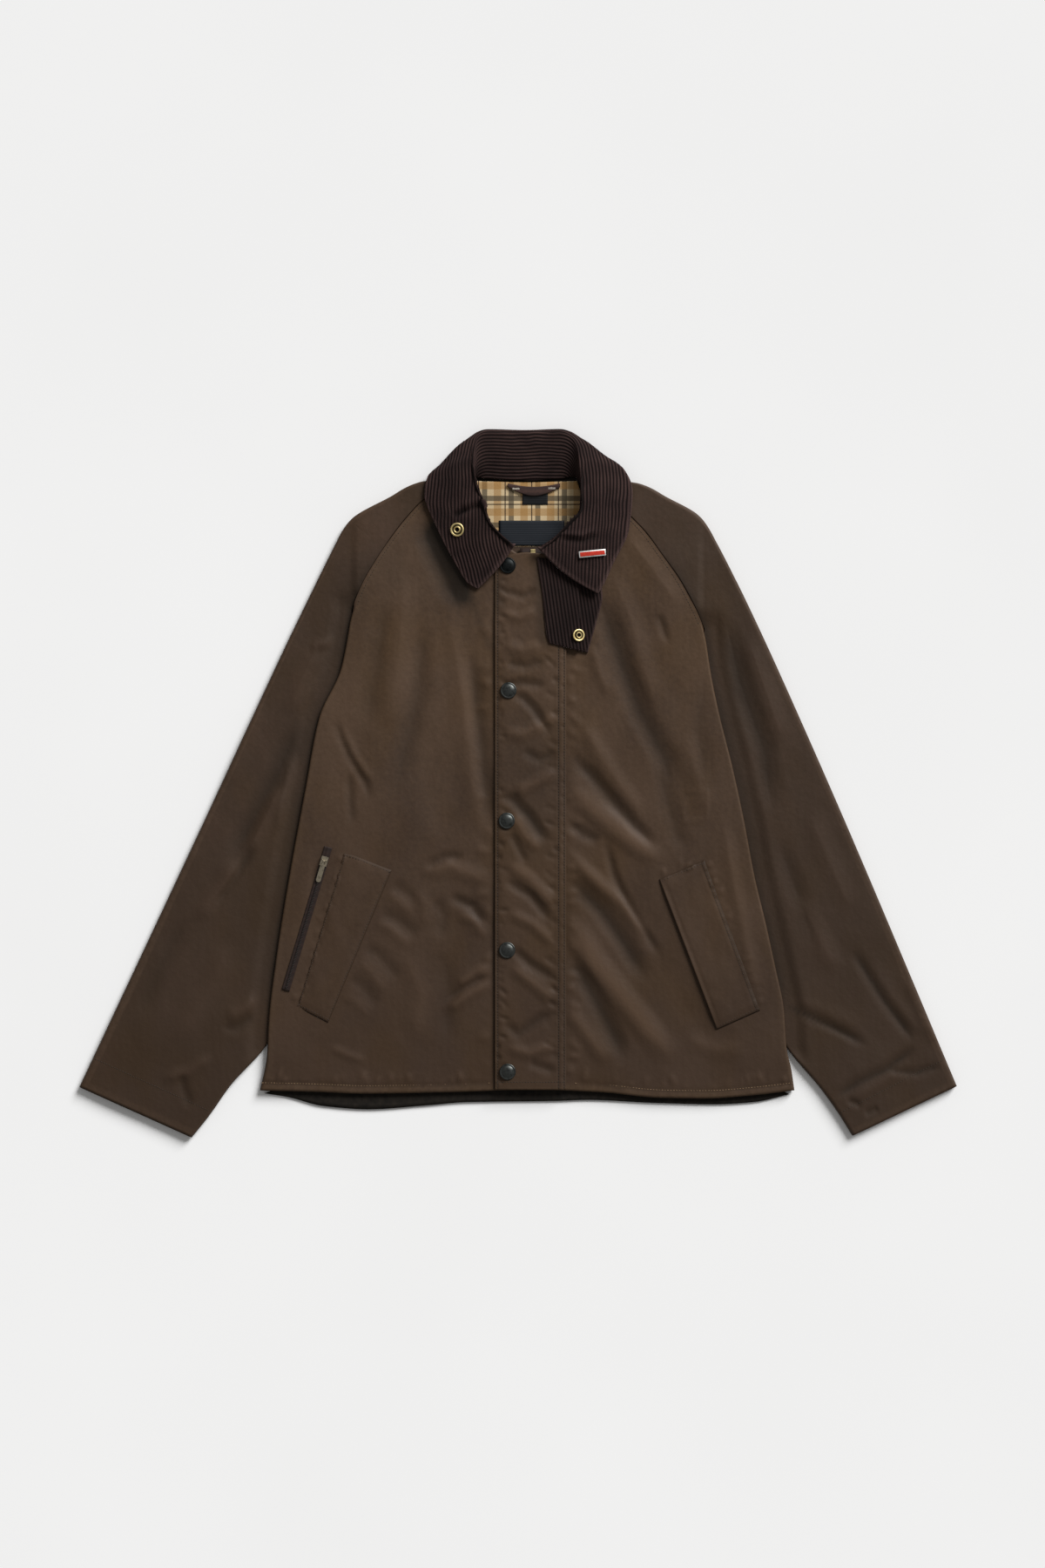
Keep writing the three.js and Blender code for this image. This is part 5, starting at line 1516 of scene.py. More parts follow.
        # The free edge and the hem are painted paler: partly rubbed cloth, partly a painted highlight
        worn_and_lit = 0.6 * ease(1 - (x - left) / 3) + 0.4 * ease(1 - (y - hem) / 4)
        rows_of_stitches = sum(ease(1 - np.abs(x - at) / 1.5) for at in PLACKET_ROWS)
        grid[..., 2] -= 0.4 * rows_of_stitches
        # The same painted shade and highlight for the placket, with PLACKET_SHADES' shadow lines and darker
        # stitch rows
        fold = self.folded(grid, self.placket_creases + PLACKET_SHADES, FRONT_SHOWS)
        seams = {"wear_and_highlight": worn_and_lit, "fold": fold - 3 * rows_of_stitches}
        piece = shop.sewn(grid, CLOTH, "placket_cloth", "placket",
                          Slot.WAXED, (shop.waxed, shop.inside), seams)
        self.build_zip()

    def build_zip(self) -> None:
        """Builds the zip's tape and its two rows of teeth."""
        low, high, middle = -346.0, 270.0, 17
        x = np.array([2, 6, 10, 12.5, 14, 15.6, 17, 18.4, 20, 21.5, 24, 28, 32.0])
        y = np.linspace(low, high, 90)
        gx, gy = np.meshgrid(x, y)
        height = self.top(gx, gy) - 1.2 + 0.5 * ease(1 - np.abs(gx - middle) / 4)
        piece = self.shop.sewn(np.stack([gx, gy, height], axis=-1), 1.2, "front_zip_tape", "front_zip",
                               Slot.TAPE, (self.shop.tape,))
        face = lambda px, py: self.top(px, py) - 1.2 + 0.5
        lines = [line_on(face, [(middle + dx, low + 4), (middle + dx, high - 2)], 0.35) for dx in (-1.1, 1.1)]
        teeth = Run(Unit.TOOTH).make("front_zip_teeth", lines, 2.6, (1.5, 3.0, 1.3), self.shop.brass)
        self.shop.piece(teeth, "front_zip_teeth", "jacket", Slot.ZIP_METAL)


@dataclass
class Sleeves:
    """The two raglan sleeves, each one tube pressed flat."""

    shop: Workshop
    body: Body
    finer: int = 10
    grids: list[Array] = field(default_factory=list)

    def top(self, side: Side, creases: Sequence[Crease], ripple: Ripple, out: Array, y: Array) -> Array:
        """Finds the top layer's height: low where the body lies on it, level with the front above the fold.

        Args:
            side: the side.
            creases, ripple: its creases and waves.
            out, y: the places.

        Returns:
            Heights.
        """
        border = side.edge_at(np.minimum(y, side.fold_top))
        covered = ease((border + 26 - out) / 14) * (1 - ease((y - side.fold_top) / 25)) * ease((y + 325) / 22)
        raised = ease((side.step + 5 - out) / 10) * ease((y - side.fold_top) / 35)
        level = self.body.top(side.sign * side.raglan_at(np.maximum(y, side.fold_top)), y)
        free = mix(SLEEVE_TOP, level, raised * ease((side.step_top + 60 - y) / 60))
        x = side.sign * out
        lift = 3 * np.tanh(sum(crease.lift(x, y) for crease in creases) / 3) + ripple.lift(x, y)
        return mix(free + lift, TUCKED_TOP, covered)

    def grid(self, side: Side) -> tuple[Array, Array]:
        """Makes the rings of points round the sleeve, a few between each two stations.

        Args:
            side: the side.

        Returns:
            The grid, and how worn each point is.
        """
        creases = SLEEVE_CREASES[side.sign]
        ripple = Ripple(31 + side.sign, ((90, 130, 0.6), (40, 60, 0.45), (18, 24, 0.22)))
        steps = (2, 2, 3, 3, 3, 2, 2, 3, 2, 2, 2)
        rows, wear_and_highlight = [], []
        for n, count in enumerate(steps):
            begin, to = np.array(side.stations[n]), np.array(side.stations[n + 1])
            last = 1 if n == len(steps) - 1 else 0
            for k in range(count * self.finer + last):
                outer, top, bottom = mix(begin, to, k / (count * self.finer))
                row, worn_and_lit = self.row(side, creases, ripple, float(outer), float(top), float(bottom))
                rows.append(row)
                # The cuff's edge is painted paler: partly rubbed cloth, partly a painted highlight
                near_cuff = n == 0 and k < 3
                wear_and_highlight.append(np.maximum(worn_and_lit, 0.6) if near_cuff else worn_and_lit)
        grid, worn_and_lit = np.array(rows), np.array(wear_and_highlight)
        if side.sign < 0:
            grid, worn_and_lit = grid[:, ::-1], worn_and_lit[:, ::-1]
        return grid, worn_and_lit

    def row(self, side: Side, creases: Sequence[Crease], ripple: Ripple, outer_y: float, top_y: float,
            bottom_y: float) -> tuple[Array, Array]:
        """Makes one ring, from the top layer's inner edge over the outer fold to the bottom layer's edge.

        Args:
            side, creases, ripple: the side, its creases and waves.
            outer_y, top_y, bottom_y: where the ring meets the outer fold and the two inner edges.

        Returns:
            Points by 3, and how much each is rubbed and painted paler.
        """
        curl_n, covered_n, rising_n, top_n, fold_n, bottom_n = 4, 12, 7, 58, 10, 22
        curl = 1 - float(ease((top_y - side.underarm) / 45))
        if top_y < side.underarm:
            top_out = float(side.inner_at(top_y))
        elif top_y < side.fold_top - 8:
            top_out = float(side.armhole_at(top_y))
        else:
            beside = float(side.border(top_y)) + mix(0.5, 1, float(ease((top_y - 265) / 25)))
            top_out = mix(float(side.armhole_at(min(top_y, side.fold_top))), beside,
                          float(ease((top_y - side.fold_top + 8) / 6)))
        below = side.inner_at if bottom_y < side.underarm else side.back_raglan_at
        bottom_out = float(below(bottom_y))
        outer = np.array([float(side.outer_at(outer_y)), outer_y])
        top_edge, bottom_edge = np.array([top_out, top_y]), np.array([bottom_out, bottom_y])
        across = (outer - top_edge) / np.linalg.norm(outer - top_edge)
        under = (outer - bottom_edge) / np.linalg.norm(outer - bottom_edge)
        level = lambda plan: self.top(side, creases, ripple, plan[:, 0], plan[:, 1])
        radius = float(level(outer[None])[0]) / 2
        inner_radius = float(level(top_edge[None])[0]) / 2
        angle = (math.pi / 2) * (1 - np.arange(curl_n) / curl_n)
        along = mix(inner_radius * np.arange(curl_n) / curl_n, inner_radius * (1 - np.sin(angle)), curl)
        plan = top_edge + across * along[:, None]
        z = mix(level(plan), inner_radius + 0.2 + (inner_radius - 0.2) * np.cos(angle), curl)
        parts = [np.column_stack([plan, z])]
        first, final = top_edge + across * inner_radius, outer - across * radius
        split = self.split(side, first, final)
        rise = min(0.5 * (1 - split), 13 / float(np.linalg.norm(final - first)))
        share = np.concatenate([split * np.arange(covered_n) / covered_n,
                                split + rise * np.arange(rising_n) / rising_n,
                                mix(split + rise, 1, np.arange(top_n) / top_n)])
        plan = first + (final - first) * share[:, None]
        parts.append(np.column_stack([plan, level(plan)]))
        middle = across + under
        centre = outer - middle / np.linalg.norm(middle) * radius
        edge_top = float(level(final[None])[0])
        k = np.arange(fold_n + 1) / fold_n
        outward = across + (under - across) * k[:, None]
        plan = centre + outward * (radius * np.sin(math.pi * k))[:, None]
        plan[0] = final
        parts.append(np.column_stack([plan, (edge_top / 2) * (1 + np.cos(math.pi * k))]))
        bottom_end = bottom_edge + under * inner_radius
        k = np.arange(1, bottom_n + 1) / bottom_n
        plan = centre + (bottom_end - centre) * k[:, None]
        parts.append(np.column_stack([plan, np.zeros(bottom_n)]))
        k = np.arange(1, curl_n + 1) / curl_n
        angle = (math.pi / 2) * k
        along = mix(inner_radius * (1 - k), inner_radius * (1 - np.sin(angle)), curl)
        plan = bottom_edge + under * along[:, None]
        parts.append(np.column_stack([plan, (inner_radius - 0.2) * (1 - np.cos(angle)) * curl]))
        row = np.concatenate(parts)
        row[:, 0] *= side.sign
        # The outer fold and the curled inner edge are painted paler: partly rubbed cloth, partly a painted
        # highlight
        worn_and_lit = np.zeros(len(row))
        begin = curl_n + len(share)
        worn_and_lit[begin - 2:begin + 7] = 0.85
        worn_and_lit[:curl_n] = 0.5 * curl
        return row, worn_and_lit

    @staticmethod
    def split(side: Side, first: Array, final: Array) -> float:
        """Finds where the sleeve leaves the body's cover, or reaches the step by the seam.

        Args:
            side: the side.
            first, final: the ends of the top layer.

        Returns:
            How far along the top layer it is, from 0 to 1.
        """
        for k in np.arange(0.1, 0.8, 0.01):
            plan = mix(first, final, k)
            line = float(side.edge_at(plan[1])) + 12 if plan[1] < side.fold_top else side.step - 5
            if plan[0] > line:
                return float(k)
        return 0.3

    def build(self) -> None:
        """Builds both sleeves."""
        for name, side in (("sleeve_right", RIGHT), ("sleeve_left", LEFT)):
            grid, worn_and_lit = self.grid(side)
            fold = self.body.folded(grid, SLEEVE_CREASES[side.sign] + CUFF_SHADES, SLEEVE_SHOWS)
            # Painted shadow: the sleeve is painted darker beside the body's edge, where the body keeps the
            # light off it
            out, y = np.abs(grid[..., 0]), grid[..., 1]
            far = out - side.border(y)
            along = ease((y + 270) / 50) * ease((320 - y) / 110)
            beside = (1.7 * ease(1 - far / 34) + 2.4 * ease(1 - far / 9)) * along
            seams = {"wear_and_highlight": worn_and_lit, "fold": fold - beside}
            finishes = (self.shop.waxed_sleeve, self.shop.inside)
            piece = self.shop.sewn(grid, CLOTH, name + "_cloth", name, Slot.WAXED, finishes, seams)
            self.grids.append(grid)


@dataclass
class Pockets:
    """The slanted welts, and the zip with its slider beside one of them."""

    shop: Workshop
    body: Body
    welts: dict = field(default_factory=lambda: {
        "left": ((161.5, -109), (213, -87), (277, -259), (227.5, -281)),
        "right": ((-199, -77), (-144.5, -98.5), (-217.5, -273), (-253, -255)),
    })
    zip_ends: tuple = ((-217.0, -72.0), (-266.0, -236.0))
    zip_width: float = 9.0

    def plan(self, which: str, u: Array, v: Array) -> tuple[Array, Array]:
        """A place on a welt, from 0 to 1 across and up it.

        Args:
            which: left or right.
            u, v: places across and along the welt, from 0 to 1.

        Returns:
            X and Y.
        """
        top_left, top_right, low_right, low_left = (np.array(c, dtype=float) for c in self.welts[which])
        return tuple(mix(mix(low_left[i], low_right[i], u), mix(top_left[i], top_right[i], u), v)
                     for i in (0, 1))

    def face(self, which: str, x: Array, y: Array, u: Array, v: Array) -> Array:
        """Height of a welt: it lies close to the front and domes a little between its stitched edges.

        Args:
            which: left or right.
            x, y: places on the welt.
            u, v: the same places across and along it, from 0 to 1.

        Returns:
            Heights.
        """
        near = rest_on(self.body.face, 5)(x, y)
        dome = ease(u / 0.16) * ease((1 - u) / 0.16) * ease(v / 0.06) * ease((1 - v) / 0.06)
        small = Ripple(57 if which == "left" else 58, ((26, 34, 0.35), (11, 14, 0.2)))
        return near + SEAM + WELT * 0.7 + 0.9 * dome + small.lift(x, y) * mix(0.4, 1, dome)

    def build(self) -> None:
        """Builds the welts, the zip's tape and coil, and its slider and pull."""
        shop = self.shop
        self.stitch_lines = []
        for which in ("left", "right"):
            u, v = np.meshgrid(np.linspace(0, 1, 42), np.linspace(0, 1, 110))
            x, y = self.plan(which, u, v)
            z = self.face(which, x, y, u, v)
            if which == "left":
                z += 1.3 * ease(1 - u / 0.1) * ease(v / 0.12) * ease((1 - v) / 0.12)
            else:
                z -= 1.3 * ease(1 - u / 0.4)
            sewn = np.minimum(1 - u if which == "left" else np.minimum(u, 1 - u), 2) * 56
            inset = 0.9 * ease(1 - np.minimum(sewn, np.minimum(v, 1 - v) * 185) / 2.5)
            grid = np.stack([x, y, z - inset], axis=-1)
            # The welts are painted darker along their stitched edges, the seams' dark line with painted shade
            # in it, and on the left welt over its outer edge's wall, as painted shade where the light would
            # catch it; their edges are a little paler, rubbed cloth with a painted highlight
            if which == "right":
                seam = np.maximum(ease(1 - (1 - u) / 0.05), ease(1 - (1 - v) / 0.016))
            else:
                seam = np.maximum(ease(1 - np.abs(u - 0.93) / 0.03), ease(1 - np.minimum(v, 1 - v) / 0.014))
                seam = np.maximum(seam, 1.2 * ease((u - 0.95) / 0.03))
            seams = {"wear_and_highlight": 0.15 * ease(1 - np.minimum(u, 1 - u) * 25), "fold": -3.2 * seam}
            piece = shop.sewn(grid, WELT, f"pocket_welt_{which}_cloth", f"pocket_welt_{which}",
                              Slot.WAXED, (shop.waxed, shop.inside), seams)
            runs = {"left": (((0.05, 0.985), (0.96, 0.985)), ((0.93, 0.98), (0.93, 0.02)),
                             ((0.96, 0.018), (0.05, 0.018))),
                    "right": (((0.03, 0.985), (0.97, 0.985)), ((0.045, 0.98), (0.045, 0.02)),
                              ((0.955, 0.98), (0.955, 0.02)), ((0.97, 0.018), (0.03, 0.018)))}[which]
            for (u0, v0), (u1, v1) in runs:
                k = np.linspace(0, 1, 60)
                lu, lv = mix(u0, u1, k), mix(v0, v1, k)
                lx, ly = self.plan(which, lu, lv)
                self.stitch_lines.append(np.stack([lx, ly, self.face(which, lx, ly, lu, lv) - 0.1], axis=1))
        self.build_zip()

    def build_zip(self) -> None:
        """Builds the pocket's zip."""
        start, end = (np.array(p) for p in self.zip_ends)
        length = float(np.linalg.norm(end - start))
        way = (end - start) / length
        aside = np.array([-way[1], way[0]])
        u, v = np.meshgrid(np.linspace(-0.5, 0.5, 13), np.linspace(1, 0, 110))
        x = start[0] + way[0] * v * length + aside[0] * u * self.zip_width
        y = start[1] + way[1] * v * length + aside[1] * u * self.zip_width
        under = rest_on(self.body.top, 5)
        z = under(x, y) + SEAM + 1.2 + 0.45 * ease(1 - np.abs(u) / 0.22)
        piece = self.shop.sewn(np.stack([x, y, z], axis=-1), 1.2, "pocket_zip_tape", "pocket_zip",
                               Slot.TAPE, (self.shop.tape,))
        face = lambda px, py: under(px, py) + SEAM + 1.65
        first, last = start + way * 26, end - way * 3
        lines = [line_on(face, [first, last], 0.1)]
        coil = Run(Unit.STITCH).make("pocket_zip_coil", lines, 1.5, (1.5, 3.2, 0.8), self.shop.coil)
        self.shop.piece(coil, "pocket_zip_coil", "jacket", Slot.TAPE)
        self.shop.bevelled("pocket_zip_slider", 0.35, self.shop.nickel, Slot.ZIP_METAL, "jacket")
        self.shop.bevelled("pocket_zip_pull", 0.25, self.shop.nickel, Slot.ZIP_METAL, "zip_pull")


COLLAR = (
    # nx, ny, rx, ry, rz, qx, qy, qz, under, bow: the neck seam, the roll, the fall's edge, the stretch
    # under it and the bow between them
    (-8, 267, -4, 272, 18.5, -46, 223, 12, 0, -2.5), (-25, 284, -20.5, 286, 21, -57, 229, 12, 0, 0),
    (-37, 300, -32, 300, 23, -73, 254, 12.5, 0, 0), (-44, 322, -39, 322, 24, -93, 292, 13, 0, 0),
    (-50, 340, -47.5, 346, 24, -107.5, 330, 13.5, 0, 0), (-51, 349, -51, 368, 22, -104, 351, 13, 0, 0),
    (-50, 351.5, -50, 383, 18, -88, 366, 11, 12, 0), (-47, 351.5, -47, 396, 14.5, -62, 392, 10.5, 44, 0),
    (-36, 349.8, -33, 402, 13, -34, 405, 11, 60, 0), (6, 348, 6, 401, 12.5, 6, 404, 10.5, 60, 0),
    (48, 350, 46, 402, 13.5, 47, 405, 11, 60, 0), (60, 352, 62, 395, 15, 74, 394, 10.5, 46, 0),
    (65, 352, 68, 382, 19, 98, 376, 11, 18, 0), (68, 349, 70, 366, 23, 122, 359, 13, 0, 0),
    (74, 336, 71, 344, 25, 131, 334, 13.5, 0, 0), (74, 314, 70, 314, 25, 127, 291, 14, 0, 0),
    (61, 294, 57, 298, 24.5, 110, 254, 16.5, 0, 0), (44, 277, 42, 282, 22.5, 99, 230, 18, 0, 1.5),
    (28, 266, 22.5, 269, 20.5, 91.5, 217, 18, 0, 5),
)
COLLAR_CREASES = creases(
    (((-76, 305), (-58, 313), (-36, 322)), 4.5, -1.6, 0.15),
    (((-64, 314), (-50, 322), (-40, 330)), 8, 1.0),
    (((43, 286), (73, 283), (92, 292)), 5, 1.2),
    (((46, 280), (74, 277), (96, 284)), 6, -1.0),
)


@dataclass
class CollarGroup:
    """The corduroy collar, its throat tab, studs and bar pin."""

    shop: Workshop
    body: Body
    wale: float = 3.9
    pile: float = 0.75

    def ribs(self, count: Array) -> Array:
        """Height of the pile from a count of wales: rounded tops and narrow grooves."""
        return self.pile * (np.abs(np.cos(math.pi * count)) ** 0.7 - 0.6)

    def path(self, s: Array, across: int) -> tuple[Array, Array]:
        """One section of the collar: up the stand, over the roll, out along the fall and under it.

        Args:
            s: the row of the collar's table at this place.
            across: how many points to make.

        Returns:
            Points by 3, and each one's distance from the roll along the section.
        """
        nx, ny, rx, ry, rz, qx, qy, qz, under, bow = s
        n, r, q = np.array([nx, ny]), np.array([rx, ry]), np.array([qx, qy])
        on_back = float(ease((ny - 330) / 20))
        base = float(self.body.top(np.array([nx]), np.array([ny]))[0]) + SEAM + 0.2
        neck_z = mix(base, CLOTH + SEAM + CORDUROY, on_back)
        span = float(np.linalg.norm(q - r))
        out = (q - r) / span
        a = np.linspace(0, 1, 15)
        stand = np.column_stack([n + (r - n) * (a ** 1.2)[:, None], mix(neck_z, rz, np.sin(a * math.pi / 2))])
        a = np.linspace(0, 1, 25)[1:]
        plan = r + (q - r) * a[:, None] + np.array([out[1], -out[0]]) * (bow * np.sin(math.pi * a))[:, None]
        fall = np.column_stack([plan, mix(rz, qz, a ** 1.3)])
        parts = [stand, fall]
        radius = qz / 2
        round_length = math.pi * radius
        if under > 0.5:
            reach = min(under, round_length)
            angle = math.pi * reach * np.arange(1, 13) / (12 * round_length)
            plan = q + out * (min(span, radius) * 0.4 * np.sin(angle))[:, None]
            parts.append(np.column_stack([plan, radius + radius * np.cos(angle)]))
            if under > round_length:
                end = q + np.array([-0.15 * math.copysign(1, qx) * abs(out[0]), -1]) * (under - round_length)
                end[1] = max(end[1], 357.5)
                parts.append(np.array([[end[0], end[1], 0.0]]))
        line = np.concatenate(parts)
        lengths = distances(line)
        roll = lengths[len(stand) - 1]
        stand_n = int(across * 0.27)
        at = np.concatenate([np.linspace(0, roll, stand_n, endpoint=False),
                             np.linspace(roll, lengths[-1], across - stand_n)])
        even = np.stack([np.interp(at, lengths, line[:, i]) for i in range(3)], axis=1)
        return even, at - roll

    def collar_grid(self, along: int = 225, across: int = 180) -> None:
        """Makes the collar's grid with its wales, and keeps it for what sits on it.

        Args:
            along, across: the numbers of points along and across the collar.
        """
        table = np.array(COLLAR, dtype=float)
        columns = [smooth(list(enumerate(table[:, c]))) for c in range(table.shape[1])]
        places = np.linspace(0, len(COLLAR) - 1, along)
        rows, counts = [], []
        tilt = math.tan(math.radians(10))
        for place in places:
            s = np.array([float(c(place)) for c in columns])
            points, from_roll = self.path(s, across)
            x, y = points[:, 0], points[:, 1]
            if place < 9:
                plane = -x - 51 + tilt * (300 - y) * ease((300 - y) / 60)
                flat = 1 - float(ease((place - 3.6) / 2.2))
            else:
                plane = x - 70 + math.tan(math.radians(3)) * (300 - y)
                flat = float(ease((place - 12.2) / 2.2))
            flat = np.where(from_roll > 0, flat, 0.0)
            counts.append(mix(from_roll, plane, flat) / self.wale)
            rows.append(points)
        grid, count = np.array(rows), np.array(counts)
        normal = np.cross(np.gradient(grid, axis=0), np.gradient(grid, axis=1))
        normal /= np.maximum(np.linalg.norm(normal, axis=2, keepdims=True), 1e-9)
        x, y = grid[..., 0], grid[..., 1]
        upper = grid[..., 2] > 11
        self.fold = sum(c.lift(x, y) for c in COLLAR_CREASES) * upper
        lift = self.fold + 0.5 * Ripple(71, ((34, 34, 0.8),)).lift(x, y)
        uneven = mix(0.3, 0.5, ease((y - 345) / 15))
        count = count + uneven * Ripple(73, ((30, 44, 1.0),)).lift(x, y)
        count = count + 0.16 * Ripple(74, ((9, 12, 1.0),)).lift(x, y)
        self.smooth_grid = grid
        edge = np.minimum(np.arange(across)[::-1], 8) / 8
        ends = np.minimum(np.minimum(np.arange(along), np.arange(along)[::-1]), 4) / 4
        calm = np.sqrt(np.clip(edge[None, :] * ends[:, None], 0, 1))
        self.grid = grid + normal * ((self.ribs(count) * calm + lift - 0.5 * (1 - calm))[..., None])
        self.count = count
        # The collar's edges are painted paler: partly rubbed pile, partly a painted highlight
        self.worn_and_lit = np.maximum(0.9 * (1 - edge[None, :]) ** 0.7, 0.9 * (1 - ends[:, None]))

    def face(self, x: Array, y: Array) -> Array:
        """Finds the collar's height from the nearest points of its grid.

        Args:
            x, y: places on the collar.

        Returns:
            Heights.
        """
        points = self.smooth_grid[::3, ::4].reshape(-1, 3)
        points = points[points[:, 2] >= 9]
        far_x = points[None, :, 0] - np.ravel(x)[:, None]
        far_y = points[None, :, 1] - np.ravel(y)[:, None]
        share = 1 / (far_x ** 2 + far_y ** 2 + 4) ** 2
        return ((share * points[None, :, 2]).sum(axis=1) / share.sum(axis=1)).reshape(np.shape(x))

    def tab_face(self, x: Array, y: Array) -> Array:
        """The height of the throat tab over the placket, which ends at 58, and the front."""
        under = lambda px, py: self.body.top(px, py) + np.where(px < 58, SEAM + CLOTH + 1.0, 0)
        return rest_on(under, 12)(x, y) + SEAM + CORDUROY

    def build_tab(self) -> None:
        """Builds the throat tab with its wales."""
        left_x = smooth(((260, 21), (215, 28), (172, 32), (160.5, 35.5)))
        right_x = smooth(((246, 93), (215, 96.5), (185, 89.5), (150, 79.5)))
        u, v = np.meshgrid(np.linspace(0, 1, 110), np.linspace(0, 1, 70))
        left_y, right_y = mix(160.5, 259.5, v), mix(150, 246, v)
        x, y = mix(left_x(left_y), right_x(right_y), u), mix(left_y, right_y, u)
        turn = math.radians(8)
        count = (x * math.cos(turn) + y * math.sin(turn)) / self.wale
        near = np.minimum(np.minimum(u, 1 - u) * 62, np.minimum(v, 1) * 100)
        calm = ease(near / 2.5)
        z = self.tab_face(x, y) + self.ribs(count) * calm - 0.9 * (1 - calm)
        grid = np.stack([x, y, z + 0.4 * Ripple(72, ((30, 40, 0.8),)).lift(x, y)], axis=-1)
        # The tab's edges are painted paler: partly rubbed pile, partly a painted highlight
        worn_and_lit = 0.7 * (1 - calm)
        seams = {"wear_and_highlight": worn_and_lit, "wale": count}
        piece = self.shop.sewn(grid, CORDUROY, "throat_tab_corduroy", "throat_tab",
                               Slot.CORD, (self.shop.shaded_cord,), seams)

    def build(self) -> None:
        """Builds the collar, the tab and the metal on them."""
        shop = self.shop
        self.collar_grid()
        grid = self.grid[:, ::-1]
        # The creases' numbers also paint shade into the pile's troughs
        seams = {"wear_and_highlight": self.worn_and_lit[:, ::-1], "wale": self.count[:, ::-1], "fold": self.fold[:, ::-1]}
        piece = shop.sewn(grid, CORDUROY, "collar_corduroy", "collar", Slot.CORD, (shop.cord,), seams)
        self.build_tab()
        ring = lambda r, hole: (
            (hole, 0), (r - 0.5, 0), (r - 0.1, 0.3), (r, 0.7), (r - 0.35, 1.15), (r - 1.1, 1.35),
            (r - 1.9, 1.0), (r - 2.5, 0.45), (r - 3.2, 0.45), (hole + 1.5, 1.4), (hole + 0.8, 1.8),
            (hole + 0.25, 1.6), (hole, 1.1), (hole, 0))
        for name, x, y, radius, hole, face, lift in (
                ("collar_stud", -69.4, 290.3, 7.9, 2.4, self.face, SEAM + 0.6),
                ("tab_stud", 69.0, 170.0, 7.1, 2.2, self.tab_face, SEAM + 0.3)):
            mesh = shop.lathe(ring(radius, hole), 48, name + "_turned")
            out = np.array([math.hypot(v.co.x, v.co.y) for v in mesh.vertices])
            groove = np.maximum(ease(1.7 - np.abs(out - radius + 3.0) / 0.9), out < hole + 0.1)
            mesh.attributes.new("groove", "FLOAT", "POINT").data.foreach_set("value", groove)
            mesh = seated(mesh, x, y, face, lift)
            mesh.materials.append(shop.brass)
            shop.piece(mesh, name + "_turned", "jacket", Slot.STUD, [name])
        # Both parts of the pin sit at one place with one turn
        pin = (84.5, 262.8, self.face, SEAM + 0.9, 6)
        rim = seated(shop.block((31, 7.4, 1.1), 0.4, "collar_pin_plate"), *pin)
        rim.materials.append(shop.rim)
        shop.piece(rim, "collar_pin_plate", "jacket", Slot.ENAMEL, ["collar_pin"])
        face = seated(shop.block((28.4, 4.8, 0.5), 0.2, "collar_pin_enamel", 1.0), *pin)
        face.materials.append(shop.enamel)
        shop.piece(face, "collar_pin_enamel", "jacket", Slot.ENAMEL)


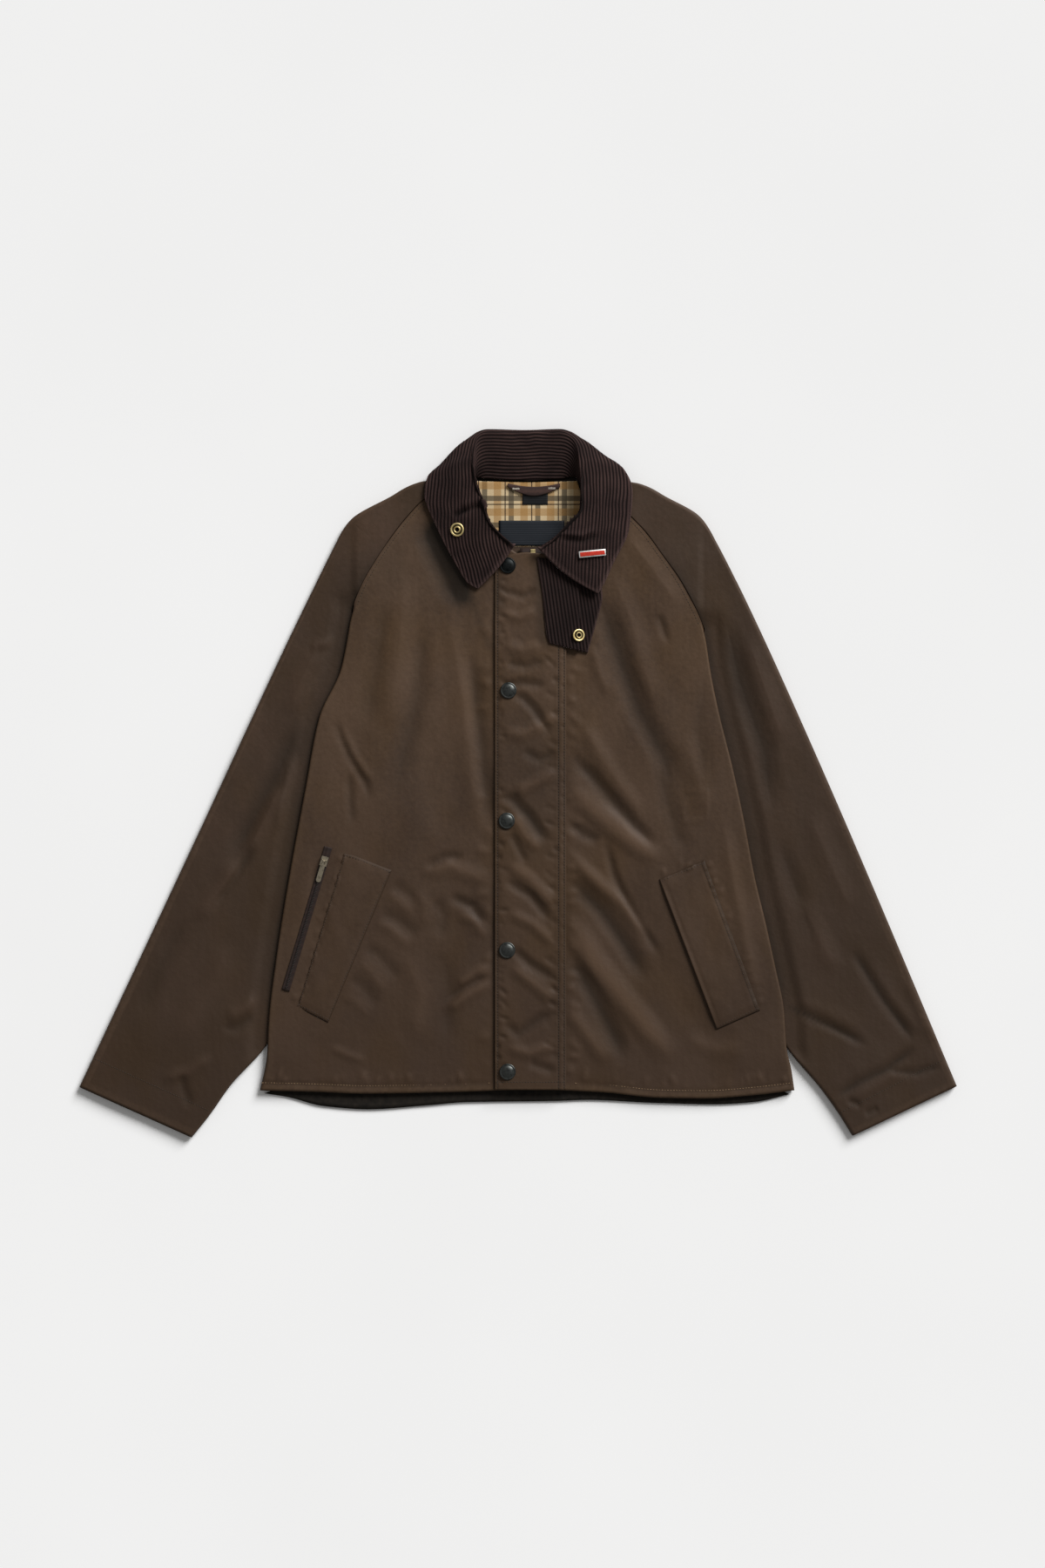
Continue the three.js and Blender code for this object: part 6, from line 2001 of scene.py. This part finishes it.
@dataclass
class NeckInside:
    """What shows inside the neck: the checked lining, the bare label and size tab, and the hanger loop."""

    shop: Workshop
    facing_top: float = 273.5

    def flat(self, box: tuple[float, float, float, float], name: str, node: str, finish: Material,
             flat: Pair) -> None:
        """Lays a small woven label.

        Args:
            box: its left, right, low and high edges.
            name, node: the piece's name and the node that it replaces.
            finish: its finish.
            flat: its cut size in metres; not used.
        """
        x1, x2, y1, y2 = box
        u, v = np.meshgrid(np.linspace(0, 1, 30), np.linspace(0, 1, 16))
        x, y = mix(x1, x2, u), mix(y1, y2, v)
        edge = ease(np.minimum(np.minimum(u, 1 - u) * (x2 - x1), np.minimum(v, 1 - v) * (y2 - y1)) / 1.2)
        face = LINING_FACE + SEAM + LABEL
        z = face - 0.25 * (1 - edge) + 0.2 * Ripple(83, ((16, 12, 1.0),)).lift(x, y) * edge
        piece = self.shop.sewn(np.stack([x, y, z], axis=-1), LABEL * 0.8, name, node, Slot.LABEL, (finish,))

    def build(self) -> None:
        """Builds the pieces, each lying on the one before."""
        shop = self.shop
        u, v = np.meshgrid(np.linspace(0, 1, 60), np.linspace(0, 1, 44))
        y = mix(236, 347.5, v) - 1.4 * np.sin(math.pi * u) * ease((v - 0.9) / 0.1)
        x = mix(-mix(80, 49, v), mix(94, 67.5, v ** 1.5), u)
        held = ease((v - 0.1) / 0.2) * ease((1 - v) / 0.1)
        z = LINING_FACE + 0.25 * Ripple(81, ((30, 22, 1.0),)).lift(x, y) * held
        mesh = shop.shell(np.stack([x, y, z], axis=-1), LINING * 0.7, "lining_cloth", (shop.lining,))
        # Under the label the fronts' brown facing takes over from the check
        mesh.materials.append(shop.facing)
        for face in mesh.polygons:
            if face.center.y < self.facing_top * MM:
                face.material_index = 1
        piece = shop.piece(mesh, "lining_cloth", "jacket", Slot.LINING, ["lining_yoke"])
        self.flat((-22, 53, 273, 302), "neck_label_satin", "neck_label", shop.label, (0.075, 0.029))
        self.flat((5, 34, 320, 340), "size_tab_satin", "size_tab", shop.satin, (0.029, 0.02))
        u, v = np.meshgrid(np.linspace(0, 1, 60), np.linspace(0, 1, 9))
        sag = np.sin(math.pi * u)
        x, y = mix(-12, 48, u), 344.5 - 4 * sag - (1 - v) * (4.5 + 6 * sag)
        z = LINING_FACE + 2 * SEAM + LABEL + 1.4 + 0.5 * np.sin(math.pi * u) - 0.3 * (2 * v - 1) ** 2
        piece = shop.sewn(np.stack([x, y, z], axis=-1), 1.2, "hanger_loop_tape", "hanger_loop",
                          Slot.TAPE, (shop.loop,))
        height = LINING_FACE + 2 * SEAM + LABEL + 1.5
        lines = [np.array([[x0, y0 + dy, height], [x0 + 7, y0 + dy, height]])
                 for x0, y0 in ((-6, 337.5), (35, 338)) for dy in (0, 0.7, 1.4)]
        mesh = Run(Unit.STITCH).make("loop_bar_tacks", lines, 1.0, (1.3, 0.8, 0.7), shop.tack)
        shop.piece(mesh, "loop_bar_tacks", "jacket", Slot.LABEL)


@dataclass
class Closures:
    """The five snap caps down the placket."""

    shop: Workshop
    body: Body
    radius: float = 9.3
    places: tuple = ((-12, 250), (-11, 107), (-13, -42), (-12.5, -190), (-12, -329))

    def build(self) -> None:
        """Builds the caps: a rolled rim, a narrow groove and a low dome."""
        r = self.radius
        profile = ((0, 0), (r - 0.8, 0), (r - 0.2, 0.25), (r, 0.7), (r - 0.25, 1.15), (r - 0.9, 1.4),
                   (r - 1.6, 1.3), (r - 2.0, 1.15), (r - 2.5, 1.5), (r - 4.0, 2.2), (r - 6.0, 2.65),
                   (r - 7.8, 2.8), (0, 2.8))
        for n, (x, y) in enumerate(self.places, 1):
            mesh = seated(self.shop.lathe(profile, 56, f"snap_{n}_cap"), x, y, self.body.placket_calm, 0.5)
            # The top cap lies in the collar's shade
            mesh.materials.append(self.shop.shaded_gunmetal if n == 1 else self.shop.gunmetal)
            self.shop.piece(mesh, f"snap_{n}_cap", "jacket", Slot.SNAP, [f"snap_{n}"])


@dataclass
class Topstitching:
    """The lines of thread on the fronts, placket, welts, armhole seams, hem and cuffs."""

    shop: Workshop
    body: Body
    sleeves: Sleeves
    pockets: Pockets
    pitch: float = 3.3
    stitch: Triple = (2.5, 0.75, 0.6)
    cuff_row: int = 10
    cuff_shows: float = 5.5

    def build(self) -> None:
        """Builds the lines as two meshes: the topstitching and the hem's."""
        body, lift = self.body, 0.05
        placket = body.placket_face
        ends = ((-346, 249), (-347, 250), (-347, 252))
        lines = [line_on(placket, [(x, low), (x, high)], lift) for x, (low, high) in zip(PLACKET_ROWS, ends)]
        lines.append(line_on(placket, [(-24, -341), (52, -341)], lift))
        lines += self.pockets.stitch_lines
        for side in (RIGHT, LEFT):
            y = np.linspace(side.fold_top + 6, side.neck_corner - 4, 40)
            out = side.raglan_at(y) - 4.5
            lines.append(line_on(body.face, [(side.sign * o, v) for o, v in zip(out, y)], lift))
        for grid in self.sleeves.grids:
            row = grid[self.cuff_row]
            top = row[row[:, 2] > self.cuff_shows]
            lines.append(top[3:-3:2] + np.array([0, 0, lift]))
        mesh = Run(Unit.STITCH).make("topstitching", lines, self.pitch, self.stitch, self.shop.thread)
        self.shop.piece(mesh, "topstitching", "jacket", Slot.WAXED)
        lines = [line_on(body.face, line, lift + 0.1) for line in body.hem_lines]
        mesh = Run(Unit.STITCH).make("hem_stitching", lines, self.pitch, self.stitch, self.shop.pale_thread)
        self.shop.piece(mesh, "hem_stitching", "jacket", Slot.WAXED)


@dataclass
class Studio:
    """The paper, the lamp and the camera, straight above as in the photograph."""

    height: float = 3.0
    lens: float = 60.0
    centre_x: float = 0.005
    film_mm: float = 36.0
    paper_reach: float = 6.0
    paper_low: float = -0.0006
    room: str = "#f7f6f4"
    room_strength: float = 0.27

    def build_camera(self) -> None:
        """Sets the camera over the jacket: 36 mm of film along the picture's long side."""
        data = bpy.data.cameras.new("overhead")
        data.lens, data.sensor_width, data.sensor_fit = self.lens, self.film_mm, "AUTO"
        camera = bpy.data.objects.new("overhead", data)
        camera.location = (self.centre_x, 0, self.height)
        bpy.context.scene.collection.objects.link(camera)
        bpy.context.scene.camera = camera

    def sun(self, name: str, at: Triple, spread: float, power: float) -> None:
        """Adds a far lamp that lights the jacket and the paper evenly.

        Args:
            name: the lamp's name.
            at: the way to it from the jacket.
            spread: how wide it looks, in degrees.
            power: its power in watts on a square metre.
        """
        data = bpy.data.lights.new(name, "SUN")
        data.angle, data.energy = math.radians(spread), power
        lamp = bpy.data.objects.new(name, data)
        way = np.array(at) / np.linalg.norm(at)
        lamp.location = 3 * way
        lamp.rotation_euler = (math.acos(way[2]), 0, math.atan2(way[0], -way[1]))
        bpy.context.scene.collection.objects.link(lamp)

    def build(self) -> None:
        """Builds the paper, the lamp and the room's light."""
        mesh = bpy.data.meshes.new("paper")
        reach = self.paper_reach
        corners = ((-reach, -reach), (reach, -reach), (reach, reach), (-reach, reach))
        mesh.from_pydata([(x, y, self.paper_low) for x, y in corners], [], [(0, 1, 2, 3)])
        mesh.materials.append(Backdrop().build())
        paper = bpy.data.objects.new("paper", mesh)
        bpy.context.scene.collection.objects.link(paper)
        self.sun("key", (1.0, 1.25, 0.97), 30, 4.2)
        world = bpy.data.worlds.new("room")
        world.use_nodes = True
        background = world.node_tree.nodes["Background"]
        background.inputs["Color"].default_value = linear(self.room)
        background.inputs["Strength"].default_value = self.room_strength
        bpy.context.scene.world = world
        bpy.context.scene.view_settings.view_transform = "Standard"


def main() -> None:
    """Builds the studio and every piece."""
    logging.basicConfig(level=logging.INFO, format="%(name)s %(message)s")
    studio = Studio()
    studio.build_camera()
    studio.build()
    shop = Workshop()
    body = Body(shop)
    body.build()
    sleeves = Sleeves(shop, body)
    sleeves.build()
    pockets = Pockets(shop, body)
    pockets.build()
    CollarGroup(shop, body).build()
    NeckInside(shop).build()
    Closures(shop, body).build()
    Topstitching(shop, body, sleeves, pockets).build()


if __name__ == "__main__":
    main()
